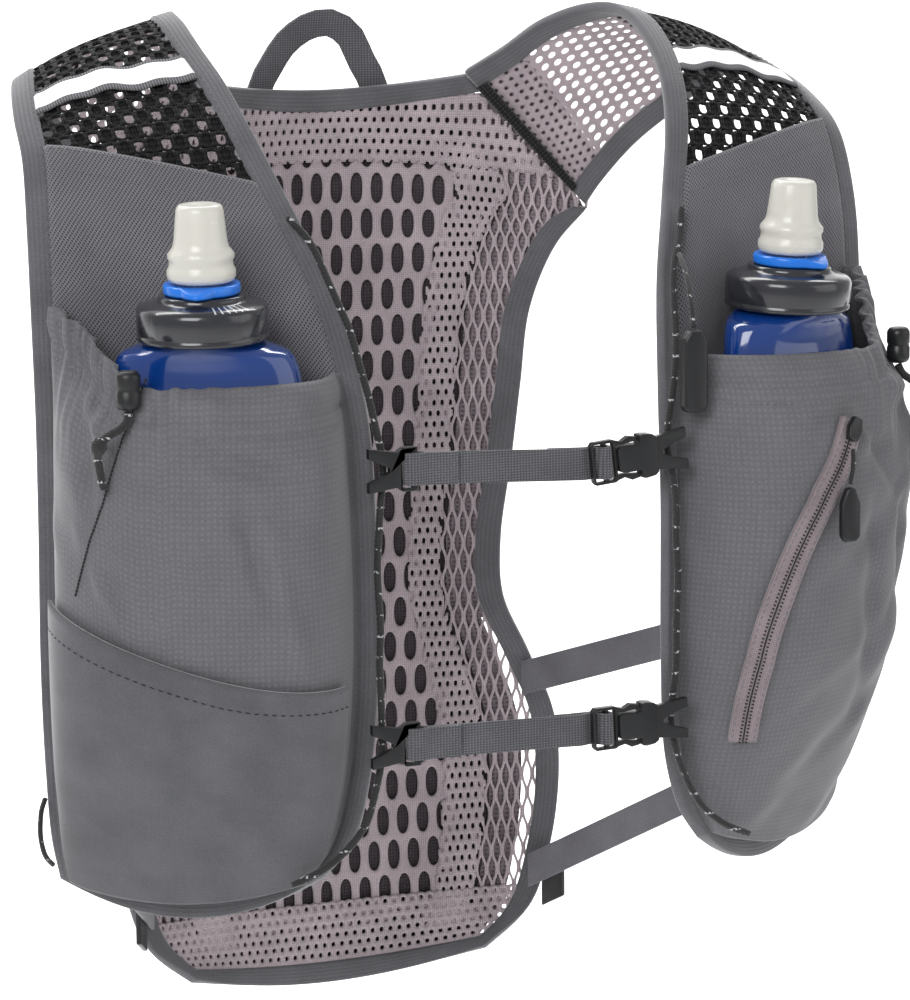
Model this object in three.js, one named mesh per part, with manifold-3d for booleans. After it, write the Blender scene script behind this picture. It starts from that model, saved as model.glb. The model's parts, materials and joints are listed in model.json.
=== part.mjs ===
// Running hydration vest, held in the shape it has when worn, with a soft flask in each chest pocket.
// Millimetres, +Z up, +X to the wearer's left, -Y to the front.
// The origin is midway between the two shoulder seats.

import * as THREE from 'three';
import { mergeVertices } from 'three/addons/utils/BufferGeometryUtils.js';
import Module from 'manifold-3d';

// Overall sizes of the vest
const HALF_WIDTH = 170;
const FRONT_REACH = 120;
const FRONT_DROP = 318;
const BACK_HALF_WIDTH = 101;
const BACK_REACH = 100;
const BACK_DROP = 412;

// Walls, edges and the clearance between neighbours
const GAP = 0.3;
const LAYER_GAP = 1;
const SEAM_GAP = 1.8;
const PANEL_WALL = 3;
const BINDING_WIDTH = 9.5;
const BINDING_PROUD = 0.8;
const SLEEVE_WALL = 1.2;
const TAPE_WIDTH = 12;
const TAPE_WALL = 1.2;
const YOKE_TAPE_WIDTH = 7;

// Flask pocket and what is on it
const POCKET_DEPTH = 50;
const POCKET_WALL = 2;
const POCKET_ROUNDNESS = 2.5;
const STRETCH_WALL = 1.5;
const ZIP_WIDTH = 11;
const ZIP_WALL = 1.4;

// Net holes
const SHOULDER_WEB = 4.5;
const BACK_WEB = 6;
const SHOULDER_NET_COLUMNS = 4;
const SHOULDER_NET_ROWS = 21;
const BACK_NET_COLUMNS = 8;
const BACK_NET_ROWS = 23;

// Rear pouch, in rows of the back panel and shares of its half width
const POUCH_DEPTH = 15;
const POUCH_WALL = 2;
const POUCH_TOP_ROW = 4.3;
const POUCH_END_ROW = 12.9;
const POUCH_ACROSS = 0.8;
const POUCH_CLOSING = 0.3;
const POUCH_ROUNDNESS = 2.4;
const POUCH_LINES = 7;

// Carrying loop
const LOOP_WIDTH = 12;
const LOOP_WALL = 1.8;
const LOOP_HALF_SPAN = 24;
const LOOP_RISE = 26;
const LOOP_FOOT = 20;
const LOOP_TILT = 0.29;
const LOOP_LEAN = 0.3;
const LOOP_STEPS = 20;

// Soft flask, measured from the underside of its cap. It fits in the pocket with these rooms round it,
// and its foot stands at a share of FRONT_DROP.
const FLASK_SIDE_ROOM = 16.2;
const FLASK_FRONT_ROOM = 10;
const FLASK_SINK = 5.6;
const FLASK_LENGTH = 160;
const FLASK_FOOT = 0.8428;
const FLASK_BASE_OUT = 0.64;
const FLASK_BASE_FORE = 0.78;
const FLASK_TURN_BACK = 2.249;
const FLASK_SIDE_SHIFT = -3;
const FLASK_LEAN = 4;
const FLASK_FORWARD = 3.5;
const FLASK_SETTLES_AT = 0.28;
const FLASK_RECENTRED = 0.6;
const FLASK_SIDES = 16;
const CAP_DIAMETER = 48;
const CAP_HEIGHT = 16.5;
const LEVER_DIAMETER = 28;
const LEVER_HEIGHT = 4;
const LEVER_SEAT = 0.3;
const VALVE_DIAMETER = 25;
const VALVE_HEIGHT = 28;

// Chest straps
const WEBBING_WIDTH = 12;
const WEBBING_WALL = 1.5;
const UPPER_STRAP_DROP = 158;
const UPPER_STRAP_SAG = 3.2;
const UPPER_STRAP_TILT = 6;
const LOWER_STRAP_DROP = 261;
const LOWER_STRAP_SAG = 1.4;
const LOWER_STRAP_TILT = 2;
const STRAP_TAIL = 16;
const FITTING_WALL = 3;
const FITTING_HEIGHT = 16.4;
const HOOK_LENGTH = 19;
const HOOK_REACH = 11.5;
const LADDER_LENGTH = 10;
const LADDER_EDGE = 1;
const LADDER_SLOT = 4;
const LADDER_BAR = 1.2;
const SLOT_STEP = 0.2;
const LADDER_REACH = 31.5;
const PRONG_LENGTH = 9;
const BUCKLE_WALL = 6;
const BUCKLE_LENGTH = 16;
const BUCKLE_HEIGHT = 16.8;
const FORK_LENGTH = 13;
const HOOK_BAR = 2.6;
const HOOK_SLOT = 3.6;

// Side straps
const ELASTIC_WIDTH = 15;
const ELASTIC_WALL = 1.6;
const KEEPER_WALL = 1.2;
const KEEPER_LENGTH = 20;
const KEEPER_AT = 0.62;
const SIDE_LOCK_LENGTH = 13;
const SIDE_LOCK_WALL = 2.4;
const SIDE_LOCK_DROP = 11;
const SIDE_LOCK_AT = 0.04;

// Cords and small fittings
const RAIL_CORD_DIAMETER = 3;
const RAIL_LIFT = PANEL_WALL + BINDING_PROUD + RAIL_CORD_DIAMETER / 2;
const DRAWCORD_DIAMETER = 3.2;
const THIN_CORD_DIAMETER = 2;
const LOCK_DIAMETER = 9;
const LOCK_LENGTH = 14;
const KNOT_DIAMETER = 7;
const WHISTLE_WIDTH = 9.6;
const WHISTLE_LENGTH = 31;
const WHISTLE_THICKNESS = 6;
const SLIDER_WIDTH = 7;
const SLIDER_LENGTH = 9;
const SLIDER_HEIGHT = 2.4;
const PULL_WIDTH = 8;
const PULL_LENGTH = 21;
const PULL_THICKNESS = 4;

// Sections of one front panel, from the yoke seam over the shoulder to the hem.
// Out is a share of HALF_WIDTH, down of FRONT_DROP, and fore of FRONT_REACH, or of BACK_REACH behind.
// Bow is the panel's own curve across, sag how far its middle hangs, both in shares of PANEL_FULLNESS,
// and pocket is the share of POCKET_DEPTH that the flask pocket stands out.
const PANEL_FULLNESS = 16;
const STATION_COLUMNS = [
  'neckOut', 'neckFore', 'neckDown', 'armOut', 'armFore', 'armDown', 'bow', 'sag', 'pocket',
];
const STATIONS = table(STATION_COLUMNS, [
  [0.341, -0.760, 0.075, 0.641, -0.660, 0.255, 0.00, 0.00, 0.00],
  [0.390, -0.580, 0.047, 0.665, -0.600, 0.226, 0.10, 0.00, 0.00],
  [0.445, -0.380, 0.012, 0.729, -0.500, 0.175, 0.20, 0.00, 0.00],
  [0.502, -0.200, -0.006, 0.800, -0.400, 0.135, 0.28, 0.00, 0.00],
  [0.536, -0.040, -0.008, 0.865, -0.240, 0.094, 0.32, 0.00, 0.00],
  [0.546, 0.100, 0.003, 0.912, -0.060, 0.070, 0.32, 0.00, 0.00],
  [0.544, 0.250, 0.030, 0.947, 0.100, 0.083, 0.28, 0.00, 0.00],
  [0.526, 0.417, 0.070, 0.976, 0.267, 0.112, 0.22, 0.00, 0.00],
  [0.497, 0.548, 0.124, 0.990, 0.400, 0.149, 0.15, 0.00, 0.10],
  [0.438, 0.700, 0.214, 1.000, 0.475, 0.220, 0.00, 0.00, 0.22],
  [0.380, 0.842, 0.308, 1.003, 0.508, 0.308, -0.19, 0.00, 0.60],
  [0.345, 0.960, 0.434, 1.000, 0.517, 0.434, -0.31, 0.00, 0.97],
  [0.338, 1.000, 0.560, 1.000, 0.517, 0.560, -0.31, 0.00, 1.00],
  [0.338, 1.000, 0.748, 1.000, 0.500, 0.748, -0.31, 0.00, 0.84],
  [0.356, 0.975, 0.874, 0.985, 0.458, 0.874, -0.25, 0.00, 0.55],
  [0.394, 0.967, 0.943, 0.965, 0.417, 0.950, -0.12, 0.38, 0.28],
  [0.453, 0.930, 0.984, 0.941, 0.400, 1.000, 0.00, 1.00, 0.06],
]);
const LAST_STATION = STATIONS.length - 1;

// Sections of the back panel, from the neck to the hem.
// Seam places an edge on the yoke seam, from 0 at the neck to 1 at the armhole. The other edges have
// out as a share of BACK_HALF_WIDTH, aft of BACK_REACH and down of BACK_DROP, and so have the middles.
const BACK_COLUMNS = ['seam', 'edgeOut', 'edgeAft', 'edgeDown', 'middleAft', 'middleDown'];
const BACK_ROWS = table(BACK_COLUMNS, [
  [0.0, 0, 0, 0, 0.97, 0.075],
  [0.5, 0, 0, 0, 0.98, 0.120],
  [1.0, 0, 0, 0, 0.99, 0.175],
  [null, 0.960, 0.71, 0.238, 1.00, 0.240],
  [null, 0.861, 0.76, 0.303, 1.01, 0.306],
  [null, 0.822, 0.78, 0.383, 1.02, 0.388],
  [null, 0.782, 0.79, 0.461, 1.03, 0.466],
  [null, 0.733, 0.80, 0.545, 1.03, 0.549],
  [null, 0.743, 0.80, 0.607, 1.03, 0.610],
  [null, 0.861, 0.80, 0.670, 1.03, 0.676],
  [null, 0.975, 0.80, 0.735, 1.02, 0.745],
  [null, 1.000, 0.80, 0.796, 1.02, 0.806],
  [null, 0.961, 0.80, 0.874, 1.01, 0.883],
  [null, 0.861, 0.80, 0.942, 1.00, 0.956],
  [null, 0.654, 0.83, 0.985, 0.99, 1.016],
]);
const LAST_BACK_ROW = BACK_ROWS.length - 1;
const ARMHOLE_ROW = 2;
const RAMP_ROWS = 0.5;

// Sections of the soft flask, in shares of its length, width and thickness
const FLASK_SECTIONS = table(['down', 'width', 'thickness'], [
  [0.002, 0.54, 0.94], [0.016, 0.70, 0.92], [0.037, 0.86, 0.86], [0.075, 0.92, 0.82], [0.15, 0.96, 0.88],
  [0.28, 1.00, 1.00],
  [0.64, 0.99, 0.96], [0.85, 0.96, 0.66], [0.97, 0.89, 0.28], [1.00, 0.82, 0.12],
]);

// Where things lie on the front panel, in stations and in shares of the way from neck to armhole
const NET_END = 8.9;
const SLEEVE_TOP_NECK = 8.6;
const SLEEVE_TOP_ARM = 7.85;
const SHOULDER_TAPE_AT = 6.6;
const POCKET_HEM = 10.67;
const POCKET_HEM_ARM = 10.05;
const HEM_RISE_FROM = 0.62;
const TUCK = 0.5;
const TUCK_STATIONS = 1.3;
const STRETCH_TOP_NECK = 12.95;
const STRETCH_TOP_ARM = 12.42;
const CHEST_STATION = 12;
const LOCK_PLACES = { left: [10.78, 0.84], right: [10.72, 0.66] };
const ZIP_PATH = [
  [11.3, 0.385], [11.65, 0.32], [12.0, 0.23], [12.3, 0.165],
  [12.6, 0.12], [12.9, 0.09], [13.3, 0.075], [13.8, 0.07],
];
const ZIP_STEPS = 11;
const SLIDER_AT = 0.04;

// Elastic side straps: a station of the front panel and a row of the back panel
const SIDE_STRAPS = table(['name', 'station', 'row'], [
  ['upper', 12.93, 9.37],
  ['lower', 14.57, 12.43],
]);

// Routes of the held cords, chosen by hand: out is a share of HALF_WIDTH, fore of FRONT_REACH and down of
// FRONT_DROP, and each lies a rail cord's lift in front of that
const RAIL_ROUTES = {
  right: [
    [0.4765, 0.7225, 0.2107], [0.4294, 0.7642, 0.239], [0.4118, 0.8225, 0.2799],
    [0.3941, 0.8642, 0.3113], [0.3765, 0.8975, 0.3396], [0.3647, 0.9308, 0.3836],
    [0.3471, 0.9642, 0.4277], [0.3412, 0.9792, 0.4591], [0.3294, 1.0008, 0.4969],
    [0.3412, 1.0008, 0.5346], [0.3471, 1.0008, 0.5849], [0.3529, 1.0008, 0.6289],
    [0.3412, 1.0008, 0.6761], [0.3529, 1.0008, 0.7107], [0.3412, 1.0008, 0.7484],
    [0.3529, 1.0008, 0.7862], [0.3353, 1.0008, 0.8208], [0.3588, 1.0008, 0.8616],
    [0.3647, 1.0008, 0.8931], [0.3882, 1.0008, 0.9214], [0.4353, 0.9992, 0.9465],
    [0.4941, 1.0092, 0.9654], [0.5588, 0.9942, 0.978],
  ],
  left: [
    [0.4647, 0.7308, 0.217], [0.4588, 0.7558, 0.2453], [0.4235, 0.8058, 0.2704],
    [0.4059, 0.8475, 0.3019], [0.3941, 0.9058, 0.3616], [0.3765, 0.9517, 0.4088],
    [0.3529, 0.9775, 0.456], [0.3353, 1.0008, 0.4969], [0.3588, 1.0008, 0.5377],
    [0.3647, 1.0008, 0.5755], [0.3588, 1.0008, 0.6195], [0.3706, 1.0008, 0.6572],
    [0.3588, 1.0008, 0.7013], [0.3647, 1.0008, 0.7453], [0.3588, 1.0008, 0.7799],
    [0.3412, 1.0008, 0.8208], [0.3588, 1.0008, 0.8553], [0.3706, 1.0008, 0.8836],
    [0.4, 1.0008, 0.9151], [0.4412, 0.9992, 0.9465], [0.4941, 1.0008, 0.9654],
    [0.5529, 0.9825, 0.978],
  ],
};
// Drawcord routes start at the low end of their lock, and each tail goes on from the knot
const DRAWCORD_ROUTES = {
  right: {
    cord: [[0, 0, -1], [1, -1, -4], [4, -2, -6.5], [8, -2, -8.5], [11, -1.5, -11]],
    tail: [[11.1, -1.4, -11.9], [12, -0.5, -15], [11.5, 0.5, -19], [10.5, 1, -24], [9.5, 1.5, -28]],
  },
  left: {
    cord: [[0, 0, -1], [1, -1.5, -4], [3.5, -4, -6.5], [6.5, -6.5, -9], [8, -8, -13]],
    tail: [[8.1, -8.1, -13.9], [8.6, -8.8, -17.5], [8, -11, -23], [6.5, -12.5, -30], [5, -13, -38]],
  },
};
const LANYARD_ROUTE = [
  [0.4259, 0.8317, 0.2723], [0.4176, 0.8808, 0.2799], [0.4059, 0.9558, 0.2987],
  [0.3941, 1.0142, 0.3239], [0.3882, 1.0517, 0.3506],
];
const POLE_LOOP_ROUTE = [
  [0.9976, 0.4517, 0.8962], [1.0118, 0.4767, 0.9088], [1.0176, 0.4892, 0.9371],
  [1.0059, 0.4767, 0.9623], [0.9824, 0.4433, 0.978],
];
// The zip's pull cord, from the middle of its slider, in mm
const PULL_CORD_ROUTE = [
  [-2.2, -2.9, -7.1], [-3.2, -5.4, -11.1], [-4.2, -6.4, -16.1], [-5.2, -6.4, -20.1],
];

// Colours and finishes
const greyRipstop = finish(0x5f5f63, 0.75);
const greyStretch = finish(0x58585c, 0.9);
const greyBinding = finish(0x616165, 0.85);
const greySleeve = finish(0x6b6a6e, 0.85);
const pinkNet = finish(0x94888b, 0.85);
const blackNet = finish(0x1d1d1f, 0.8);
const blackTape = finish(0x232325, 0.85);
const whiteTape = finish(0xe6e7ea, 0.35);
const darkCloth = finish(0x3a3a3e, 0.9);
const blackCord = finish(0x151517, 0.8);
const blackPlastic = finish(0x17181a, 0.4);
const greyWebbing = finish(0x5a5a5e, 0.85);
const zipTapeCloth = finish(0x85797c, 0.85);
const blueBottle = finish(0x1e3f86, 0.3);
const smokeCap = finish(0x3a3b42, 0.3);
const blueLever = finish(0x1976e0, 0.35);
const milkValve = finish(0xcdc9bb, 0.45);

function finish(color, roughness) {
  return new THREE.MeshStandardMaterial({ color, roughness, metalness: 0 });
}

function table(columns, rows) {
  return rows.map((row) => Object.fromEntries(columns.map((column, index) => [column, row[index]])));
}

// A smooth curve through one named set of columns
function columnCurve(rows, read) {
  return new THREE.CatmullRomCurve3(rows.map((row) => new THREE.Vector3(...read(row))), false, 'centripetal');
}

function foreToY(share) {
  return share > 0 ? -share * FRONT_REACH : -share * BACK_REACH;
}

const neckEdge = columnCurve(STATIONS, (row) => [
  row.neckOut * HALF_WIDTH, foreToY(row.neckFore), -row.neckDown * FRONT_DROP,
]);
const armEdge = columnCurve(STATIONS, (row) => [
  row.armOut * HALF_WIDTH, foreToY(row.armFore), -row.armDown * FRONT_DROP,
]);

function stationValue(station, column) {
  const low = Math.min(Math.floor(station), LAST_STATION - 1);
  return THREE.MathUtils.lerp(STATIONS[low][column], STATIONS[low + 1][column], station - low);
}

// The inner face of the front panel: station along it, across from 0 at the neck to 1 at the armhole
function panelFace(station, across) {
  const along = THREE.MathUtils.clamp(station / LAST_STATION, 0, 1);
  const neck = neckEdge.getPoint(along);
  const chord = armEdge.getPoint(along).sub(neck);
  const run = neckEdge.getTangent(along).add(armEdge.getTangent(along));
  const out = run.cross(chord).normalize();
  const fullness = PANEL_FULLNESS * 4 * across * (1 - across);
  const point = neck.addScaledVector(chord, across);
  point.addScaledVector(out, stationValue(station, 'bow') * fullness);
  point.z -= stationValue(station, 'sag') * fullness;
  return point;
}

function faceNormal(face, u, v, stepU, stepV) {
  const alongU = face(u + stepU, v).sub(face(u - stepU, v));
  const alongV = face(u, v + stepV).sub(face(u, v - stepV));
  return alongU.cross(alongV).normalize();
}

function onPanel(station, across, lift) {
  const inside = THREE.MathUtils.clamp(station, 0.02, LAST_STATION - 0.02);
  const normal = faceNormal(panelFace, inside, across, 0.02, 0.01);
  return panelFace(station, across).addScaledVector(normal, lift);
}

// How far across the panel its edge binding reaches, and how many stations the hem binding takes
function bindingShare(station) {
  return BINDING_WIDTH / panelFace(station, 0).distanceTo(panelFace(station, 1));
}

const lastStationLength = panelFace(LAST_STATION, 0.5).distanceTo(panelFace(LAST_STATION - 1, 0.5));
const HEM_BINDING_STATIONS = BINDING_WIDTH / lastStationLength;
const PANEL_END = LAST_STATION - HEM_BINDING_STATIONS;

// Across share of a point inside the bindings: 0 and 1 are the bindings' inner edges
function insideBindings(station, share, clearance = 2 * GAP) {
  const width = panelFace(station, 0).distanceTo(panelFace(station, 1));
  const border = bindingShare(station) + clearance / width;
  return border + (1 - 2 * border) * share;
}

// The flask pocket's inner face, with share from 0 at the neck side to 1 at the arm side
const POCKET_SEAT = PANEL_WALL + LAYER_GAP + SLEEVE_WALL + LAYER_GAP;

function hemLine(share) {
  const rise = THREE.MathUtils.smoothstep(share, HEM_RISE_FROM, 1);
  return THREE.MathUtils.lerp(POCKET_HEM, POCKET_HEM_ARM, rise);
}

// The gusset at the arm side is tucked in below its top edge
function gussetTuck(station, share) {
  const belowTop = Math.max(0, station - hemLine(share)) / TUCK_STATIONS;
  return TUCK * THREE.MathUtils.smoothstep(share, HEM_RISE_FROM, 1) * Math.max(0, 1 - belowTop);
}

function pocketFace(station, share) {
  const across = insideBindings(station, share);
  const base = onPanel(station, across, POCKET_SEAT);
  const chord = panelFace(station, 1).sub(panelFace(station, 0)).setZ(0).normalize();
  const out = new THREE.Vector3(chord.y, -chord.x, 0);
  const profile = (1 - Math.abs(2 * share - 1) ** POCKET_ROUNDNESS) ** (1 / POCKET_ROUNDNESS);
  const depth = POCKET_DEPTH * stationValue(station, 'pocket') * (1 - gussetTuck(station, share));
  return base.addScaledVector(out, depth * profile);
}

function onPocket(station, share, lift) {
  const inside = THREE.MathUtils.clamp(share, 0.012, 0.988);
  const level = Math.min(station, PANEL_END - 0.05);
  return pocketFace(station, share).addScaledVector(faceNormal(pocketFace, level, inside, 0.04, 0.01), lift);
}

// A closed wall between two grids of points. A cell named by isOpen is a hole right through it.
function wall(rows, columns, inner, outer, isOpen = () => false) {
  const positions = [];
  const index = [];
  const names = new Map();
  const corner = (layer, row, column) => {
    const name = `${layer} ${row} ${column}`;
    if (!names.has(name)) {
      names.set(name, positions.length / 3);
      positions.push(...(layer === 'in' ? inner : outer)(row, column).toArray());
    }
    return names.get(name);
  };
  const quad = (a, b, c, d) => index.push(a, b, c, a, c, d);
  const closed = (row, column) => row >= 0 && column >= 0 && row < rows && column < columns
    && !isOpen(row, column);
  const rim = (rowA, columnA, rowB, columnB) => quad(
    corner('out', rowA, columnA), corner('out', rowB, columnB),
    corner('in', rowB, columnB), corner('in', rowA, columnA),
  );
  for (let row = 0; row < rows; row += 1) {
    for (let column = 0; column < columns; column += 1) {
      if (!closed(row, column)) continue;
      quad(
        corner('out', row, column), corner('out', row + 1, column),
        corner('out', row + 1, column + 1), corner('out', row, column + 1),
      );
      quad(
        corner('in', row, column), corner('in', row, column + 1),
        corner('in', row + 1, column + 1), corner('in', row + 1, column),
      );
      if (!closed(row - 1, column)) rim(row, column, row, column + 1);
      if (!closed(row + 1, column)) rim(row + 1, column + 1, row + 1, column);
      if (!closed(row, column - 1)) rim(row + 1, column, row, column);
      if (!closed(row, column + 1)) rim(row, column + 1, row + 1, column + 1);
    }
  }
  return facingOut(positions, index);
}

function facingOut(positions, index) {
  const at = (corner) => new THREE.Vector3().fromArray(positions, corner * 3);
  let volume = 0;
  for (let face = 0; face < index.length; face += 3) {
    volume += at(index[face]).dot(at(index[face + 1]).cross(at(index[face + 2])));
  }
  const geometry = new THREE.BufferGeometry();
  geometry.setAttribute('position', new THREE.Float32BufferAttribute(positions, 3));
  geometry.setIndex(volume > 0 ? index : index.toReversed());
  return geometry;
}

function spread(count, from, to) {
  return Array.from({ length: count + 1 }, (unused, step) => from + ((to - from) * step) / count);
}

// Even steps round a half ellipse, so that a bulged wall is as smooth at its sides as in its middle
function roundSpread(count) {
  return spread(count, 0, Math.PI).map((angle) => (1 - Math.cos(angle)) / 2);
}

// A wall on a surface that takes (station, share, lift)
function layer(surface, stations, shares, liftIn, liftOut, isOpen) {
  const read = (lift) => (row, column) => {
    const station = typeof stations === 'function' ? stations(row, shares[column]) : stations[row];
    return surface(station, shares[column], lift);
  };
  const rows = typeof stations === 'function' ? stations.count : stations.length - 1;
  return wall(rows, shares.length - 1, read(liftIn), read(liftOut), isOpen);
}

// Rows that run from a slanted or stepped top line down to one last station
function rowsBelow(count, topLine, end) {
  const read = (row, share) => THREE.MathUtils.lerp(topLine(share), end, row / count);
  read.count = count;
  return read;
}

function insidePanel(station, share, lift) {
  return onPanel(station, insideBindings(station, share), lift);
}

// Shares for a net: solid webs of one width between open columns
function netShares(openColumns, webShare) {
  const hole = (1 - webShare * (openColumns + 1)) / openColumns;
  const shares = [0];
  for (let column = 0; column < openColumns; column += 1) {
    shares.push(shares.at(-1) + webShare, shares.at(-1) + webShare + hole);
  }
  return [...shares, 1];
}

// Staggered slots: every second column is a web, and neighbouring slots start half a pitch apart
function staggered(rowsOpen, pitch, lastRow) {
  return (row, column) => {
    if (column % 2 === 0 || row < 1 || row >= lastRow) return false;
    const shift = column % 4 === 1 ? 0 : pitch / 2;
    return (row + shift) % pitch < rowsOpen;
  };
}

// Strips that follow a path. The path's points are [x, y] and the strip stands along z.
function standingStrip(path, thickness, height, middleHeight) {
  const points = path.map(([x, y]) => new THREE.Vector2(x, y));
  const sideways = points.map((point, index) => {
    const before = points[Math.max(index - 1, 0)];
    const after = points[Math.min(index + 1, points.length - 1)];
    const run = after.clone().sub(before).normalize();
    return new THREE.Vector2(-run.y, run.x);
  });
  const read = (side) => (row, column) => {
    const point = points[row].clone().addScaledVector(sideways[row], (side * thickness) / 2);
    return new THREE.Vector3(point.x, point.y, middleHeight + (column - 0.5) * height);
  };
  return wall(points.length - 1, 1, read(-1), read(1));
}

function ellipseOutline(halfWidth, halfHeight, sides) {
  return Array.from({ length: sides }, (unused, side) => {
    const angle = (side / sides) * Math.PI * 2;
    return new THREE.Vector2(Math.cos(angle) * halfWidth, Math.sin(angle) * halfHeight);
  });
}

// A held cord's route in mm, from its shares of the overall sizes
function heldRoute(shares) {
  return shares.map(([out, fore, down]) => [out * HALF_WIDTH, -fore * FRONT_REACH - RAIL_LIFT, -down * FRONT_DROP]);
}

function cordTube(route, diameter, sides, stepLength) {
  const curve = new THREE.CatmullRomCurve3(route.map((point) => new THREE.Vector3(...point)));
  const steps = Math.ceil(curve.getLength() / stepLength);
  const section = new THREE.Shape(ellipseOutline(diameter / 2, diameter / 2, sides));
  return new THREE.ExtrudeGeometry(section, { steps, extrudePath: curve, curveSegments: 1 });
}

// A plate cut from sheet or moulded flat: outline in x and height, thickness towards the front
function plate(outline, holes, thickness) {
  const shape = new THREE.Shape(outline.map(([x, y]) => new THREE.Vector2(x, y)));
  holes.forEach((hole) => shape.holes.push(new THREE.Path(hole.map(([x, y]) => new THREE.Vector2(x, y)))));
  const geometry = new THREE.ExtrudeGeometry(shape, { depth: thickness, bevelEnabled: false, curveSegments: 1 });
  return geometry.rotateX(Math.PI / 2);
}

function box(low, high) {
  return [[low[0], low[1]], [high[0], low[1]], [high[0], high[1]], [low[0], high[1]]];
}

function turned(profile, sides) {
  const geometry = new THREE.LatheGeometry(profile.map(([radius, z]) => new THREE.Vector2(radius, z)), sides);
  return geometry.rotateX(Math.PI / 2);
}

function mirrored(geometry) {
  const copy = geometry.clone().scale(-1, 1, 1);
  if (copy.index) {
    copy.setIndex([...copy.index.array].reverse());
    return copy;
  }
  const position = copy.getAttribute('position');
  const turnedOver = [];
  for (let face = 0; face < position.count; face += 3) {
    for (const corner of [face + 2, face + 1, face]) {
      turnedOver.push(position.getX(corner), position.getY(corner), position.getZ(corner));
    }
  }
  const result = new THREE.BufferGeometry();
  result.setAttribute('position', new THREE.Float32BufferAttribute(turnedOver, 3));
  return result;
}

function named(name, geometry, material) {
  const mesh = new THREE.Mesh(geometry, material);
  mesh.name = name;
  return mesh;
}

// Joins and cuts of moulded fittings
const wasm = await Module();
wasm.setup();

function solid(geometry) {
  const bare = new THREE.BufferGeometry();
  bare.setAttribute('position', geometry.getAttribute('position'));
  bare.setIndex(geometry.index);
  const merged = mergeVertices(bare);
  return new wasm.Manifold(new wasm.Mesh({
    numProp: 3,
    vertProperties: new Float32Array(merged.getAttribute('position').array),
    triVerts: new Uint32Array(merged.index.array),
  }));
}

function geometryOf(body) {
  const mesh = body.getMesh();
  const geometry = new THREE.BufferGeometry();
  geometry.setAttribute('position', new THREE.BufferAttribute(mesh.vertProperties, 3));
  geometry.setIndex(new THREE.BufferAttribute(mesh.triVerts, 1));
  return geometry;
}

const vest = new THREE.Group();

function addPair(name, geometry, material) {
  vest.add(named(`${name}_left`, geometry, material));
  vest.add(named(`${name}_right`, mirrored(geometry), material));
}

// Shoulder strap net, chest panel and their binding
const netStations = spread(SHOULDER_NET_ROWS, 0, NET_END);
const strapWidth = panelFace(5, 0).distanceTo(panelFace(5, 1)) - 2 * BINDING_WIDTH;
addPair('shoulder_strap', layer(
  insidePanel, netStations, netShares(SHOULDER_NET_COLUMNS, SHOULDER_WEB / strapWidth), 0, PANEL_WALL,
  staggered(2, 4, SHOULDER_NET_ROWS - 1),
), blackNet);

const panelStart = NET_END + GAP / panelFace(NET_END, 0.5).distanceTo(panelFace(NET_END + 1, 0.5));
addPair('front_panel', layer(
  insidePanel, spread(7, panelStart, PANEL_END - 0.02), spread(4, 0, 1), 0, PANEL_WALL,
), greySleeve);

function edgeBinding() {
  const down = spread(24, 0, LAST_STATION);
  const hem = spread(8, 0, 1).slice(1, -1);
  const outer = [
    ...down.map((station) => [station, 0]),
    ...hem.map((share) => [LAST_STATION, share]),
    ...down.toReversed().map((station) => [station, 1]),
  ];
  const innerShare = bindingShare(LAST_STATION);
  const inner = [
    ...down.map((station) => [Math.min(station, PANEL_END), bindingShare(station)]),
    ...hem.map((share) => [PANEL_END, innerShare + (1 - 2 * innerShare) * share]),
    ...down.toReversed().map((station) => [Math.min(station, PANEL_END), 1 - bindingShare(station)]),
  ];
  const read = (lift) => (row, column) => onPanel(...(column === 0 ? outer : inner)[row], lift);
  return wall(outer.length - 1, 1, read(-BINDING_PROUD), read(PANEL_WALL + BINDING_PROUD));
}
addPair('edge_binding', edgeBinding(), greyBinding);

// Fine mesh sleeve over the chest, and the bright tape across the shoulder
const sleeveLift = PANEL_WALL + LAYER_GAP;
const sleeveTop = (share) => THREE.MathUtils.lerp(SLEEVE_TOP_NECK, SLEEVE_TOP_ARM, share);
addPair('mesh_sleeve', layer(
  insidePanel, rowsBelow(12, sleeveTop, PANEL_END - 0.02), spread(4, 0, 1), sleeveLift, sleeveLift + SLEEVE_WALL,
), greySleeve);

const tapeStep = TAPE_WIDTH / 2 / panelFace(SHOULDER_TAPE_AT, 0.5).distanceTo(panelFace(SHOULDER_TAPE_AT + 1, 0.5));
addPair('reflective_tape', layer(
  insidePanel, spread(2, SHOULDER_TAPE_AT - tapeStep, SHOULDER_TAPE_AT + tapeStep), spread(8, 0, 1),
  sleeveLift, sleeveLift + TAPE_WALL,
), whiteTape);

// Flask pocket, closed below and open at its hem
const pocketEnd = PANEL_END - 0.05;
const pocketShares = roundSpread(10);
addPair('flask_pocket', layer(
  onPocket, rowsBelow(11, hemLine, pocketEnd), pocketShares, 0, POCKET_WALL,
), greyRipstop);

const stretchLift = POCKET_WALL + 1.5 * LAYER_GAP;
const stretchTop = (share) => THREE.MathUtils.lerp(STRETCH_TOP_NECK, STRETCH_TOP_ARM, share ** 1.6);
vest.add(named('stretch_pocket', mirrored(layer(
  onPocket, rowsBelow(7, stretchTop, pocketEnd - 0.05), roundSpread(10).map((share) => 0.02 + 0.96 * share),
  stretchLift, stretchLift + STRETCH_WALL,
)), greyStretch));

// Black tape inside each shoulder, where the strap is sewn to the back
const yokeTapeEnd = YOKE_TAPE_WIDTH / panelFace(0, 0.5).distanceTo(panelFace(1, 0.5));
addPair('yoke_tape', layer(
  insidePanel, spread(1, 0.02, yokeTapeEnd), spread(4, 0, 1), -LAYER_GAP - TAPE_WALL, -LAYER_GAP,
), blackTape);

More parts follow.
